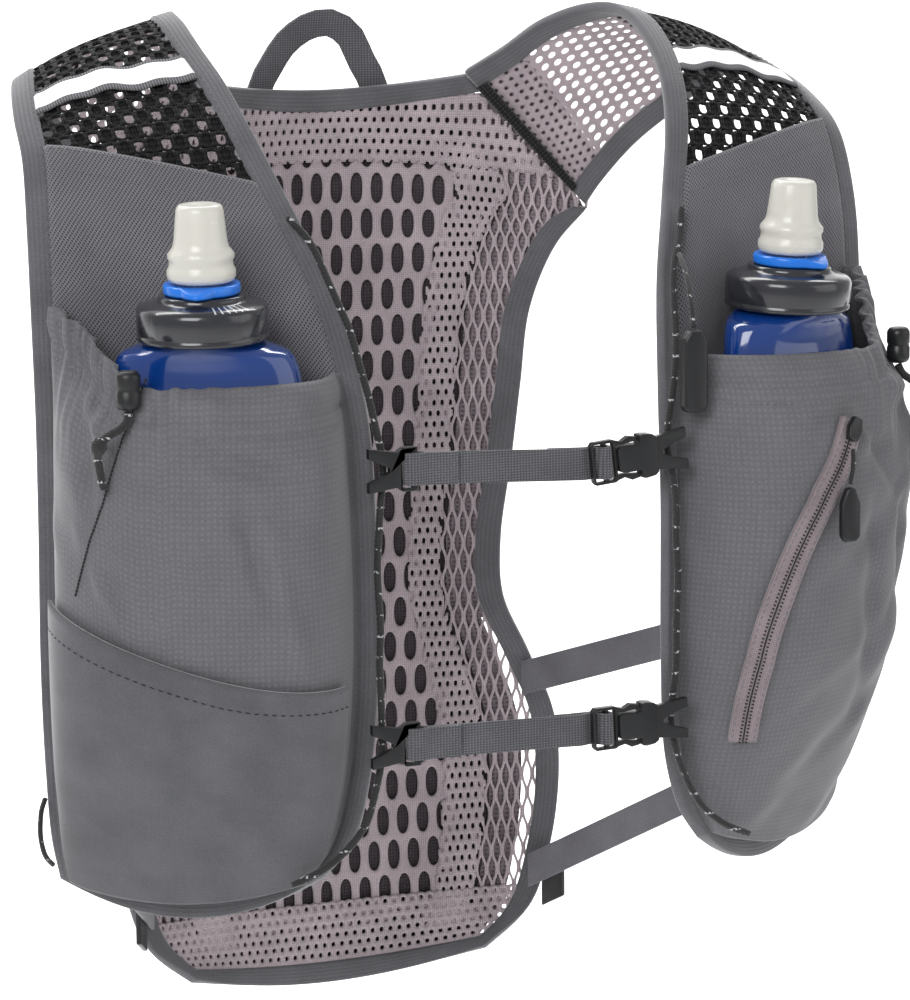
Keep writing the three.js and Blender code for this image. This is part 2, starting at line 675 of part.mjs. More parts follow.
// Back panel: its inner face, with row from neck to hem and across from -1 to 1
const backSide = columnCurve(BACK_ROWS.slice(ARMHOLE_ROW), (row) => (row.seam === null
  ? [row.edgeOut * BACK_HALF_WIDTH, row.edgeAft * BACK_REACH, -row.edgeDown * BACK_DROP]
  : seamPoint(row.seam).toArray()));

function seamPoint(share) {
  return panelFace(0, share).add(new THREE.Vector3(0, 0, -SEAM_GAP));
}

function backEdge(row) {
  if (row < ARMHOLE_ROW) return seamPoint(row / ARMHOLE_ROW);
  return backSide.getPoint(Math.min(1, (row - ARMHOLE_ROW) / (LAST_BACK_ROW - ARMHOLE_ROW)));
}
const backMiddle = columnCurve(BACK_ROWS, (row) => [0, row.middleAft * BACK_REACH, -row.middleDown * BACK_DROP]);

function backFace(row, across) {
  const along = THREE.MathUtils.clamp(row / LAST_BACK_ROW, 0, 1);
  const edge = backEdge(along * LAST_BACK_ROW);
  const middle = backMiddle.getPoint(along);
  const turn = across * across;
  return new THREE.Vector3(
    edge.x * across,
    THREE.MathUtils.lerp(middle.y, edge.y, turn),
    THREE.MathUtils.lerp(middle.z, edge.z, turn),
  );
}

function onBack(row, across, lift) {
  const inside = THREE.MathUtils.clamp(row, 0.02, LAST_BACK_ROW - 0.02);
  return backFace(row, across).addScaledVector(faceNormal(backFace, inside, across, 0.02, 0.01), -lift);
}

// The back's binding leaves the yoke seams free, and takes these shares and rows elsewhere
function backBorder(row) {
  const full = BINDING_WIDTH / backEdge(row).x;
  return full * THREE.MathUtils.smoothstep(row, ARMHOLE_ROW - RAMP_ROWS, ARMHOLE_ROW + RAMP_ROWS);
}

function rowsOver(length, row, across, step) {
  return length / (backFace(row, across).distanceTo(backFace(row + step, across)) / Math.abs(step));
}

const neckBorder = (across) => rowsOver(BINDING_WIDTH, 0, across, 0.2);
const HEM_ROW = LAST_BACK_ROW - rowsOver(BINDING_WIDTH, LAST_BACK_ROW, 0, -0.2);

const backWidth = 2 * (BACK_HALF_WIDTH - BINDING_WIDTH);
const backShares = netShares(BACK_NET_COLUMNS, BACK_WEB / backWidth);
const backPoint = (lift) => (line, column) => {
  const share = line / BACK_NET_ROWS;
  const guess = 2 * backShares[column] - 1;
  const top = neckBorder(guess) + rowsOver(LAYER_GAP, 0, guess, 0.2);
  const row = THREE.MathUtils.lerp(top, HEM_ROW - rowsOver(1.5 * LAYER_GAP, LAST_BACK_ROW, 0, -0.2), share);
  const clear = row > ARMHOLE_ROW - RAMP_ROWS ? (1.5 * LAYER_GAP) / backEdge(row).x : 0;
  return onBack(row, guess * (1 - backBorder(row) - clear), lift);
};
vest.add(named('back_panel', wall(
  BACK_NET_ROWS, backShares.length - 1, backPoint(0), backPoint(PANEL_WALL), staggered(2, 4, BACK_NET_ROWS - 1),
), pinkNet));

function ribbonOn(surface, outer, inner) {
  const read = (lift) => (row, column) => surface(...(column === 0 ? outer : inner)[row], lift);
  return wall(outer.length - 1, 1, read(-BINDING_PROUD), read(PANEL_WALL + BINDING_PROUD));
}

const neckPath = spread(16, -1, 1);
vest.add(named('neck_binding', ribbonOn(
  onBack, neckPath.map((across) => [0, across]), neckPath.map((across) => [neckBorder(across), across]),
), greyBinding));

const sideRows = spread(20, ARMHOLE_ROW, LAST_BACK_ROW);
const hemPath = spread(14, 1, -1).slice(1, -1);
const hemShare = 1 - backBorder(HEM_ROW);
vest.add(named('back_binding', ribbonOn(
  onBack,
  [
    ...sideRows.map((row) => [row, 1]),
    ...hemPath.map((across) => [LAST_BACK_ROW, across]),
    ...sideRows.toReversed().map((row) => [row, -1]),
  ],
  [
    ...sideRows.map((row) => [Math.min(row, HEM_ROW), 1 - backBorder(Math.min(row, HEM_ROW))]),
    ...hemPath.map((across) => [HEM_ROW, across * hemShare]),
    ...sideRows.toReversed().map((row) => [Math.min(row, HEM_ROW), backBorder(Math.min(row, HEM_ROW)) - 1]),
  ],
), greyBinding));

// Rear pouch, open at its top
function pouchPoint(line, lines, share, lift) {
  const down = line / lines;
  const across = (2 * share - 1) * POUCH_ACROSS;
  const side = (1 - Math.abs(2 * share - 1) ** POUCH_ROUNDNESS) ** (1 / POUCH_ROUNDNESS);
  const closing = Math.sin((Math.PI / 2) * Math.min(1, (1 - down) / POUCH_CLOSING));
  const row = THREE.MathUtils.lerp(POUCH_TOP_ROW, POUCH_END_ROW, down);
  return onBack(row, across, PANEL_WALL + LAYER_GAP + POUCH_DEPTH * side * closing + lift);
}

const pouchShares = roundSpread(10);
vest.add(named('back_pouch', wall(
  POUCH_LINES, pouchShares.length - 1,
  (line, column) => pouchPoint(line, POUCH_LINES, pouchShares[column], 0),
  (line, column) => pouchPoint(line, POUCH_LINES, pouchShares[column], POUCH_WALL),
), darkCloth));

// Carrying loop of webbing at the back of the neck
function haulLoop() {
  const lift = PANEL_WALL + BINDING_PROUD + GAP + LOOP_WALL / 2;
  const seat = (row, side) => onBack(row, (side * LOOP_HALF_SPAN) / backEdge(row).x, lift);
  const footRow = rowsOver(LOOP_FOOT, 0, 0.4, 0.2);
  const top = seat(0, 1).z;
  const arch = [[-0.8, 0.38], [-0.5, 0.72], [-0.05, 0.97], [0.35, 1.0], [0.66, 0.8], [0.84, 0.42]];
  const route = [
    seat(footRow, -1), seat(footRow / 2, -1), seat(0.02, -1),
    ...arch.map(([out, up]) => new THREE.Vector3(
      out * LOOP_HALF_SPAN, seat(0, 1).y + LOOP_LEAN * up * LOOP_RISE / 2, top + up * LOOP_RISE,
    )),
    seat(0.02, 1), seat(footRow / 2, 1), seat(footRow, 1),
  ];
  const curve = new THREE.CatmullRomCurve3(route, false, 'centripetal');
  const read = (side) => (row, column) => {
    const run = curve.getTangentAt(row / LOOP_STEPS);
    const wide = new THREE.Vector3(run.z, LOOP_TILT, -run.x);
    wide.addScaledVector(run, -wide.dot(run)).normalize();
    const thick = run.clone().cross(wide);
    return curve.getPointAt(row / LOOP_STEPS).addScaledVector(wide, (column - 0.5) * LOOP_WIDTH)
      .addScaledVector(thick, (side * LOOP_WALL) / 2);
  };
  return wall(LOOP_STEPS, 1, read(-1), read(1));
}
vest.add(named('haul_loop', haulLoop(), greyBinding));

// Soft flask: a body, a screwed cap, an on-off lever and a bite valve, all on one leaning axis
function flaskFit() {
  const chord = panelFace(CHEST_STATION, 1).sub(panelFace(CHEST_STATION, 0));
  const turn = Math.atan2(chord.y, chord.x) - THREE.MathUtils.degToRad(FLASK_TURN_BACK);
  const thickness = POCKET_DEPTH - FLASK_FRONT_ROOM;
  const stand = POCKET_SEAT + thickness / 2 - FLASK_SINK;
  return {
    turn,
    thickness,
    width: chord.length() - 2 * (BINDING_WIDTH + 2 * GAP + FLASK_SIDE_ROOM),
    out: FLASK_BASE_OUT * HALF_WIDTH + stand * Math.sin(turn),
    fore: FLASK_BASE_FORE * FRONT_REACH + stand * Math.cos(turn),
    drop: FLASK_FOOT * FRONT_DROP - FLASK_LENGTH,
  };
}
const flaskSize = flaskFit();

function flaskBody() {
  const lean = Math.tan(THREE.MathUtils.degToRad(FLASK_LEAN));
  const rings = FLASK_SECTIONS.map((section) => {
    const z = -section.down * FLASK_LENGTH;
    const settled = Math.min(1, section.down / FLASK_SETTLES_AT);
    const forward = FLASK_FORWARD * settled ** 2;
    const sideways = -FLASK_SIDE_SHIFT * Math.sqrt(settled) * FLASK_RECENTRED;
    const halfWidth = (section.width * flaskSize.width) / 2;
    const halfThickness = (section.thickness * flaskSize.thickness) / 2;
    return ellipseOutline(halfWidth, halfThickness, FLASK_SIDES)
      .map(({ x, y }) => [x + sideways, y + z * lean - forward, z]);
  });
  const positions = rings.flat(2);
  const index = [];
  for (let ring = 0; ring < rings.length - 1; ring += 1) {
    for (let side = 0; side < FLASK_SIDES; side += 1) {
      const next = (side + 1) % FLASK_SIDES;
      const [a, b] = [ring * FLASK_SIDES + side, ring * FLASK_SIDES + next];
      index.push(a, a + FLASK_SIDES, b, b, a + FLASK_SIDES, b + FLASK_SIDES);
    }
  }
  const last = (rings.length - 1) * FLASK_SIDES;
  for (let side = 1; side < FLASK_SIDES - 1; side += 1) {
    index.push(0, side, side + 1, last, last + side + 1, last + side);
  }
  return facingOut(positions, index);
}

function flaskCap() {
  const rim = CAP_DIAMETER / 2;
  const neck = LEVER_DIAMETER / 2 + 2;
  return turned([
    [0, GAP], [rim, GAP], [rim, CAP_HEIGHT * 0.68], [rim - 1.5, CAP_HEIGHT * 0.77],
    [neck, CAP_HEIGHT * 0.88], [neck, CAP_HEIGHT], [0, CAP_HEIGHT],
  ], 16);
}

function valveLever() {
  const radius = LEVER_DIAMETER / 2;
  const pointer = radius + 4;
  const outline = ellipseOutline(radius, radius, 20).map(({ x, y }) => [x, y]);
  const nose = outline.map(([x, y]) => (y < -radius * 0.97 ? [x, -pointer] : [x, y]));
  const geometry = plate(nose, [], LEVER_HEIGHT).rotateX(-Math.PI / 2);
  return geometry.translate(0, 0, CAP_HEIGHT + LEVER_SEAT);
}

function biteValve() {
  const low = CAP_HEIGHT + 2 * LEVER_SEAT + LEVER_HEIGHT;
  const radius = VALVE_DIAMETER / 2;
  return turned([
    [0, low], [radius * 0.9, low], [radius, low + VALVE_HEIGHT * 0.1], [radius, low + VALVE_HEIGHT * 0.22],
    [radius * 0.84, low + VALVE_HEIGHT * 0.32], [radius * 0.82, low + VALVE_HEIGHT * 0.56],
    [radius * 0.68, low + VALVE_HEIGHT * 0.62], [radius * 0.66, low + VALVE_HEIGHT * 0.94],
    [radius * 0.56, low + VALVE_HEIGHT], [0, low + VALVE_HEIGHT],
  ], 12);
}

for (const [side, sign] of [['left', 1], ['right', -1]]) {
  const flask = new THREE.Group();
  flask.position.set(sign * flaskSize.out + FLASK_SIDE_SHIFT, -flaskSize.fore, -flaskSize.drop);
  flask.rotation.set(THREE.MathUtils.degToRad(FLASK_LEAN), 0, sign * flaskSize.turn, 'ZXY');
  flask.add(named(`flask_body_${side}`, flaskBody(), blueBottle));
  flask.add(named(`flask_cap_${side}`, flaskCap(), smokeCap));
  flask.add(named(`valve_lever_${side}`, valveLever(), blueLever));
  flask.add(named(`bite_valve_${side}`, biteValve(), milkValve));
  vest.add(flask);
}

// Rail cords along the inner edges of the chest panels, held by the hooks and the sewn tacks
for (const [side, sign] of [['left', 1], ['right', -1]]) {
  const tube = cordTube(heldRoute(RAIL_ROUTES[side]), RAIL_CORD_DIAMETER, 8, 4.2 * RAIL_CORD_DIAMETER);
  vest.add(named(`rail_cord_${side}`, sign > 0 ? tube : mirrored(tube), blackCord));
}

// A tube of round rings with a radius at each point of its route, closed at both ends
function ringTube(route, radii, sides) {
  const points = route.map((point) => new THREE.Vector3(...point));
  const curve = new THREE.CatmullRomCurve3(points);
  const frames = curve.computeFrenetFrames(points.length - 1, false);
  const positions = [];
  points.forEach((point, ring) => {
    ellipseOutline(radii[ring], radii[ring], sides).forEach(({ x, y }) => {
      const corner = point.clone().addScaledVector(frames.normals[ring], x).addScaledVector(frames.binormals[ring], y);
      positions.push(...corner.toArray());
    });
  });
  const index = [];
  for (let ring = 0; ring < points.length - 1; ring += 1) {
    for (let side = 0; side < sides; side += 1) {
      const [a, b] = [ring * sides + side, ring * sides + ((side + 1) % sides)];
      index.push(a, a + sides, b, b, a + sides, b + sides);
    }
  }
  const last = (points.length - 1) * sides;
  for (let side = 1; side < sides - 1; side += 1) {
    index.push(0, side, side + 1, last, last + side + 1, last + side);
  }
  return facingOut(positions, index);
}

// Barrel lock at the outer corner of each pocket hem, with the hem's drawcord and its knot
for (const side of ['left', 'right']) {
  const seat = onPocket(...LOCK_PLACES[side], POCKET_WALL + LOCK_DIAMETER / 2 + 1.8 * LAYER_GAP);
  const half = LOCK_LENGTH / 2;
  const radius = LOCK_DIAMETER / 2;
  const barrel = turned([
    [0, -half], [radius * 0.7, -half], [radius, -half * 0.75],
    [radius, half * 0.75], [radius * 0.7, half], [0, half],
  ], 10).translate(seat.x, seat.y, seat.z);
  const from = ([x, y, z]) => [seat.x + x, seat.y + y, seat.z - half + z];
  const { cord, tail } = DRAWCORD_ROUTES[side];
  const knotRadius = KNOT_DIAMETER / 2;
  const cordRadius = DRAWCORD_DIAMETER / 2;
  const turn = side === 'left' ? (geometry) => geometry : mirrored;
  vest.add(named(`cord_lock_${side}`, turn(barrel), blackPlastic));
  vest.add(named(`drawcord_${side}`, turn(ringTube(cord.map(from), cord.map(() => cordRadius), 8)), blackCord));
  vest.add(named(`drawcord_knot_${side}`, turn(ringTube(
    tail.map(from), [knotRadius * 0.6, knotRadius, cordRadius, cordRadius, cordRadius], 8,
  )), blackCord));
}

// Zip on the wearer's left pocket: tape, slider and moulded pull
const zipLift = POCKET_WALL + LAYER_GAP;
const zipCurve = new THREE.SplineCurve(ZIP_PATH.map(([station, share]) => new THREE.Vector2(station, share)));

function zipFrame(at, lift) {
  const read = (share) => {
    const place = zipCurve.getPoint(THREE.MathUtils.clamp(share, 0, 1));
    return onPocket(place.x, place.y, lift);
  };
  const run = read(at + 0.01).sub(read(at - 0.01)).normalize();
  const place = zipCurve.getPoint(at);
  const normal = faceNormal(pocketFace, place.x, place.y, 0.04, 0.01);
  return { middle: read(at), run, side: run.clone().cross(normal).normalize(), normal };
}

const zipPoint = (lift) => (row, column) => {
  const { middle, side } = zipFrame(row / ZIP_STEPS, lift);
  return middle.addScaledVector(side, (column - 0.5) * ZIP_WIDTH);
};
vest.add(named('zip_tape', wall(ZIP_STEPS, 1, zipPoint(zipLift), zipPoint(zipLift + ZIP_WALL)), zipTapeCloth));

// Puts a flat shape's x, y and z along three directions of space, from an origin
function onBasis(geometry, origin, along, up, out) {
  const basis = new THREE.Matrix4().makeBasis(along, up, out).setPosition(origin);
  return geometry.applyMatrix4(basis);
}

function flatShape(outline, holes, thickness) {
  return plate(outline, holes, thickness).rotateX(-Math.PI / 2).translate(0, 0, -thickness / 2);
}

const slider = zipFrame(SLIDER_AT, zipLift + ZIP_WALL + GAP + SLIDER_HEIGHT / 2);
vest.add(named('zip_slider', onBasis(
  flatShape([
    [-SLIDER_LENGTH / 2, -SLIDER_WIDTH * 0.3], [0, -SLIDER_WIDTH / 2], [SLIDER_LENGTH / 2, -SLIDER_WIDTH * 0.35],
    [SLIDER_LENGTH / 2, SLIDER_WIDTH * 0.35], [0, SLIDER_WIDTH / 2], [-SLIDER_LENGTH / 2, SLIDER_WIDTH * 0.3],
  ], [], SLIDER_HEIGHT),
  slider.middle, slider.run, slider.side.clone().negate(), slider.normal,
), blackPlastic));

// Cord and moulded grip that hang from the slider
const pullRoute = PULL_CORD_ROUTE.map(([x, y, z]) => [slider.middle.x + x, slider.middle.y + y, slider.middle.z + z]);
vest.add(named('pull_cord', cordTube(pullRoute, THIN_CORD_DIAMETER, 8, 3 * THIN_CORD_DIAMETER), blackCord));
const gripTop = pullRoute.at(-1);
const grip = plate([
  [-PULL_WIDTH * 0.22, 0], [-PULL_WIDTH / 2, -PULL_LENGTH * 0.3], [-PULL_WIDTH / 2, -PULL_LENGTH * 0.9],
  [-PULL_WIDTH * 0.3, -PULL_LENGTH], [PULL_WIDTH * 0.3, -PULL_LENGTH], [PULL_WIDTH / 2, -PULL_LENGTH * 0.9],
  [PULL_WIDTH / 2, -PULL_LENGTH * 0.3], [PULL_WIDTH * 0.22, 0],
], [], PULL_THICKNESS).translate(gripTop[0], gripTop[1] + PULL_THICKNESS / 2, gripTop[2] - LAYER_GAP);
vest.add(named('zip_pull', grip, blackPlastic));

// Whistle in front of the sleeve, on a lanyard from the rail cord's knot
const lanyard = heldRoute(LANYARD_ROUTE);
vest.add(named('whistle_lanyard', cordTube(lanyard, THIN_CORD_DIAMETER, 8, 3 * THIN_CORD_DIAMETER), blackCord));
const whistleTop = lanyard.at(-1);
const whistleHalf = [[0.25, 0], [0.5, -0.12], [0.5, -0.94], [0.36, -1]].map(
  ([x, z]) => [x * WHISTLE_WIDTH, z * WHISTLE_LENGTH],
);
const whistleOutline = [...whistleHalf.map(([x, z]) => [-x, z]), ...whistleHalf.toReversed()];
const whistle = plate(whistleOutline, [], WHISTLE_THICKNESS)
  .translate(whistleTop[0], whistleTop[1] + WHISTLE_THICKNESS / 2, whistleTop[2] - LAYER_GAP);
vest.add(named('whistle', whistle, blackPlastic));

// Small cord loop at the outer edge of the wearer's right panel
const poleLoop = cordTube(heldRoute(POLE_LOOP_ROUTE), THIN_CORD_DIAMETER, 8, 3 * THIN_CORD_DIAMETER);
vest.add(named('pole_loop', mirrored(poleLoop), blackCord));

// An outline that is the same above and below its middle line, from its upper half
function symmetric(upper) {
  return [...upper, ...upper.toReversed().filter(([, height]) => height > 0).map(([x, height]) => [x, -height])];
}

// A moulded plate whose middle plane is y = 0
function moulding(upper, holes, thickness) {
  return plate(symmetric(upper), holes, thickness).translate(0, thickness / 2, 0);
}

// Chest straps: a hook on one rail cord, webbing, a ladder lock with prongs, and a buckle on the other cord
const railOut = neckEdge.getPoint(CHEST_STATION / LAST_STATION).x - 1;
const strapFore = FRONT_REACH + RAIL_LIFT + RAIL_CORD_DIAMETER / 2 + GAP + FITTING_WALL / 2;
const webbingLift = FITTING_WALL / 2 + GAP + WEBBING_WALL / 2;
const slotHalf = WEBBING_WIDTH / 2 + 4 * GAP;

function strapHook() {
  const half = FITTING_HEIGHT / 2;
  const outline = [
    [0, 1], [-0.3, 1], [-0.42, 0.8], [-1, 1], [-1, 0.55], [-0.8, 0.36], [-0.57, 0.1],
  ].map(([x, height]) => [x * HOOK_LENGTH, height * half]);
  const slot = box([-HOOK_BAR - HOOK_SLOT, -slotHalf], [-HOOK_BAR, slotHalf]);
  return moulding(outline, [slot], FITTING_WALL);
}

function strapWebbing(span, sag, tilt) {
  const turn = HOOK_BAR + HOOK_SLOT / 2;
  const lift = webbingLift;
  const run = WEBBING_WALL / 2 + GAP / 2;
  const [firstSlot, secondSlot] = ladderSlots();
  const path = [
    [STRAP_TAIL, -run], [4, -run], [1, -lift], [-HOOK_BAR, -lift],
    [-turn * 0.95, -lift * 0.78], [-turn, -lift * 0.25],
    [-turn, lift * 0.25], [-turn * 0.95, lift * 0.78], [-HOOK_BAR, lift], [1, lift], [4, run],
    [span - 4, run], [span - 0.8, lift], [span + firstSlot[0] - 0.8, lift],
    [span + firstSlot[0] + 0.6, lift * 0.9], [span + firstSlot[1] - 0.6, -lift * 0.9],
    [span + firstSlot[1] + 0.6, -lift], [span + secondSlot[0], -lift],
    [span + secondSlot[0] + 1, -lift * 0.75], [span + secondSlot[0] + 1.3, 0],
    [span + secondSlot[0] + 1, lift * 0.75],
    [span + secondSlot[0], lift], [span + firstSlot[1] - 0.4, lift + 0.8], [span + firstSlot[0] + 1, lift + 1.9],
    [span, lift + 2.1], [span - 8, lift + 1.2], [span - STRAP_TAIL, lift + 1],
  ];
  const rise = Math.tan(THREE.MathUtils.degToRad(tilt));
  const lean = Math.sin(THREE.MathUtils.degToRad(tilt));
  const strip = standingStrip(path, WEBBING_WALL, WEBBING_WIDTH, 0);
  const position = strip.getAttribute('position');
  for (let point = 0; point < position.count; point += 1) {
    const x = position.getX(point);
    const height = position.getZ(point);
    const droop = x < span ? (-sag * Math.max(x, 0)) / span : -sag + (x - span) * rise;
    position.setX(point, x - height * lean * THREE.MathUtils.smoothstep(x, span - LADDER_LENGTH, span));
    position.setZ(point, height + droop);
  }
  return strip;
}

function ladderSlots() {
  const secondSlot = LADDER_EDGE + LADDER_SLOT + LADDER_BAR;
  return [[LADDER_EDGE, LADDER_EDGE + LADDER_SLOT], [secondSlot, LADDER_LENGTH - LADDER_EDGE]];
}

function strapLatch() {
  const half = FITTING_HEIGHT / 2;
  const length = LADDER_LENGTH;
  const outline = [
    [0, half * 0.85], [1, half], [length - 1, half], [length, half * 0.92],
    ...[[0.3, 0.84], [0.62, 1.02], [0.98, 0.95], [1, 0.76], [0.66, 0.73], [0.3, 0.67]]
      .map(([x, height]) => [length + x * PRONG_LENGTH, height * half]),
    [length, half * 0.67], [length, half * 0.4], [length + PRONG_LENGTH * 0.75, half * 0.36],
  ];
  const holes = ladderSlots().map(([from, to], slot) => box(
    [from, -slotHalf + slot * SLOT_STEP], [to, slotHalf - slot * SLOT_STEP],
  ));
  return moulding(outline, holes, FITTING_WALL);
}

function strapBuckle() {
  const half = BUCKLE_HEIGHT / 2;
  const start = LADDER_LENGTH + GAP;
  const shoulder = LADDER_LENGTH + PRONG_LENGTH + GAP;
  const end = start + BUCKLE_LENGTH;
  const body = moulding([
    [start, half * 0.5], [start + 2, half * 0.6], [shoulder, half * 0.6], [shoulder + 0.4, half * 0.97],
    [shoulder + 2, half], [end - 1.5, half * 0.94], [end, half * 0.8],
  ], [], BUCKLE_WALL);
  const fork = moulding([
    [end - 2, half * 0.72], [end, half * 0.74], [end + FORK_LENGTH, half * 0.95], [end + FORK_LENGTH, half * 0.5],
    [end + FORK_LENGTH * 0.6, half * 0.34], [end + FORK_LENGTH * 0.22, half * 0.08],
  ], [], FITTING_WALL);
  const mouth = moulding([
    [start - 1, half * 0.4], [start + PRONG_LENGTH * 0.8, half * 0.4],
  ], [], FITTING_WALL + 2 * GAP);
  return geometryOf(solid(body).add(solid(fork)).subtract(solid(mouth)));
}

function addChestStrap(name, drop, sag, tilt) {
  const hookStart = HOOK_REACH - railOut;
  const ladderStart = railOut - LADDER_REACH;
  const hung = new THREE.Group();
  hung.position.set(hookStart, -strapFore, -drop);
  const fastened = new THREE.Group();
  fastened.position.set(ladderStart - hookStart, 0, -sag);
  fastened.rotation.y = -THREE.MathUtils.degToRad(tilt);
  hung.add(named(`chest_${name}_hook`, strapHook(), blackPlastic));
  hung.add(named(`chest_${name}_webbing`, strapWebbing(ladderStart - hookStart, sag, tilt), greyWebbing));
  fastened.add(named(`chest_${name}_ladder`, strapLatch(), blackPlastic));
  fastened.add(named(`chest_${name}_buckle`, strapBuckle(), blackPlastic));
  hung.add(fastened);
  vest.add(hung);
}
addChestStrap('upper', UPPER_STRAP_DROP, UPPER_STRAP_SAG, UPPER_STRAP_TILT);
addChestStrap('lower', LOWER_STRAP_DROP, LOWER_STRAP_SAG, LOWER_STRAP_TILT);

// Elastic side straps from the back panel to the chest panels. Each stands with its width upright.
const strapSeat = BINDING_PROUD + 1.5 * LAYER_GAP + ELASTIC_WALL / 2;

// A piece whose section stands across a side strap: thickness, then height, swept along a share of its run
function alongStrap(from, to, start, length, outline, holes) {
  const run = to.clone().sub(from);
  const direction = run.clone().normalize();
  const up = new THREE.Vector3(0, 0, 1);
  const across = up.clone().cross(direction).normalize();
  const shape = new THREE.Shape(outline.map(([x, y]) => new THREE.Vector2(x, y)));
  holes.forEach((hole) => shape.holes.push(new THREE.Path(hole.map(([x, y]) => new THREE.Vector2(x, y)))));
  const geometry = new THREE.ExtrudeGeometry(shape, { depth: length, bevelEnabled: false, curveSegments: 1 });
  const basis = new THREE.Matrix4().makeBasis(across, up, direction);
  return geometry.applyMatrix4(basis.setPosition(from.clone().addScaledVector(run, start)));
}

for (const { name, station, row } of SIDE_STRAPS) {
  const front = onPanel(station, 0.965, -strapSeat);
  const back = onBack(row, 0.93, -strapSeat);
  const section = box([-ELASTIC_WALL / 2, -ELASTIC_WIDTH / 2], [ELASTIC_WALL / 2, ELASTIC_WIDTH / 2]);
  addPair(`side_strap_${name}`, alongStrap(back, front, 0, back.distanceTo(front), section, []), greyWebbing);
  if (name === 'lower') {
    const inner = box(
      [-ELASTIC_WALL / 2 - GAP, -ELASTIC_WIDTH / 2 - GAP], [ELASTIC_WALL / 2 + GAP, ELASTIC_WIDTH / 2 + GAP],
    );
    const ring = (wallWidth) => inner.map(([x, y]) => [x + Math.sign(x) * wallWidth, y + Math.sign(y) * wallWidth]);
    const keeper = alongStrap(back, front, KEEPER_AT, KEEPER_LENGTH, ring(KEEPER_WALL), [inner]);
    addPair('strap_keeper', keeper, greyWebbing);
    const lockFace = ELASTIC_WALL / 2 + GAP;
    addPair('side_lock', alongStrap(back, front, SIDE_LOCK_AT, SIDE_LOCK_LENGTH, box(
      [lockFace, -ELASTIC_WIDTH / 2 - SIDE_LOCK_DROP], [lockFace + SIDE_LOCK_WALL, ELASTIC_WIDTH / 4],
    ), []), blackPlastic);
  }
}

export default vest;
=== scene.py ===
# Running hydration vest: the finish, cloth, nets and cords around a fixed frame of solids.

# %% [markdown]
# The frame of solids is loaded first. Every piece made below rides on one of its bodies, and most of
# them stand for one of its plain solids. Tables are in millimetres, because that is how such a vest is
# cut, and each mesh is scaled to metres when it is made.

# %% Load the frame
import json
import math

import bmesh
import bpy
import numpy as np
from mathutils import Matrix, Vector

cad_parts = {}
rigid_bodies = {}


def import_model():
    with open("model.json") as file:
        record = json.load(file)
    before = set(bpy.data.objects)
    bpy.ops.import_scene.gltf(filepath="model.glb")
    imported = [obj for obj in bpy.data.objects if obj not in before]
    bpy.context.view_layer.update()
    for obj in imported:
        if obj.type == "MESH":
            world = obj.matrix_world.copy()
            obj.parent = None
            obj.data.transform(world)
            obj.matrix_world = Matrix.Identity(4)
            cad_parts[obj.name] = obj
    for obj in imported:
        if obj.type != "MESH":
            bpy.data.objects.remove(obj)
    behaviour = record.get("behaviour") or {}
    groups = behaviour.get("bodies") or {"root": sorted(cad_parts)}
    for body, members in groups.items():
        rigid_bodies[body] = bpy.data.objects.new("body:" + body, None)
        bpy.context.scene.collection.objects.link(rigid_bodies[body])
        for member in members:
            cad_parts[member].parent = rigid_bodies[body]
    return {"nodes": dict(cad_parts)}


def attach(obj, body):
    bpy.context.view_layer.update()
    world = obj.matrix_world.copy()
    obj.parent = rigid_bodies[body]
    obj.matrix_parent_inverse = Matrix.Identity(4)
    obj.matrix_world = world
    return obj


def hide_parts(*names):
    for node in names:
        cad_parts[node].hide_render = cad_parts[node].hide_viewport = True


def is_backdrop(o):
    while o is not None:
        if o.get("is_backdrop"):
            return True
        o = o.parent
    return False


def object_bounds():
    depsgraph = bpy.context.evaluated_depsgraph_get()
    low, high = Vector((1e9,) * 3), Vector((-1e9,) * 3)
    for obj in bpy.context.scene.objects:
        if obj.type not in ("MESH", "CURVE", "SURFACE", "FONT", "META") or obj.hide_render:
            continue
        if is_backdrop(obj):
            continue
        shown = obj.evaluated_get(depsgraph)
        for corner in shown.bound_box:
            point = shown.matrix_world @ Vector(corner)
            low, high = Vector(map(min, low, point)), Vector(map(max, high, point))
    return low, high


for leftover in list(bpy.data.objects):
    bpy.data.objects.remove(leftover)
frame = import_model()
bpy.context.view_layer.update()
MM = 0.001

# %% [markdown]
# The camera stands a little over a metre and a half in front, turned to the wearer's right and slightly
# above, with a long lens so that the near strap isn't drawn larger than the far one.

# %% Camera
CAMERA_AZIMUTH = -21.72
CAMERA_ELEVATION = 9.02
CAMERA_ROLL = -0.60
CAMERA_DISTANCE = 1540
CAMERA_TARGET = (21.4, 0, -192.8)
LENS = 136.8


def camera_axes(azimuth, elevation, roll):
    back = Vector((math.sin(azimuth) * math.cos(elevation), -math.cos(azimuth) * math.cos(elevation),
                   math.sin(elevation)))
    right = Vector((math.cos(azimuth), math.sin(azimuth), 0))
    up = back.cross(right)
    turned = math.cos(roll) * right + math.sin(roll) * up
    return turned, back.cross(turned), back


def make_camera():
    axes = camera_axes(*(math.radians(v) for v in (CAMERA_AZIMUTH, CAMERA_ELEVATION, CAMERA_ROLL)))
    data = bpy.data.cameras.new("camera")
    data.lens = LENS
    data.sensor_width = 36
    data.clip_start = 0.1
    camera = bpy.data.objects.new("camera", data)
    bpy.context.scene.collection.objects.link(camera)
    place = camera.matrix_world.to_3x3()
    for column, axis in enumerate(axes):
        place.col[column] = axis
    camera.matrix_world = place.to_4x4()
    camera.location = (Vector(CAMERA_TARGET) + axes[2] * CAMERA_DISTANCE) * MM
    bpy.context.scene.camera = camera
    return camera


camera = make_camera()
print("camera at", [round(v, 3) for v in camera.location])

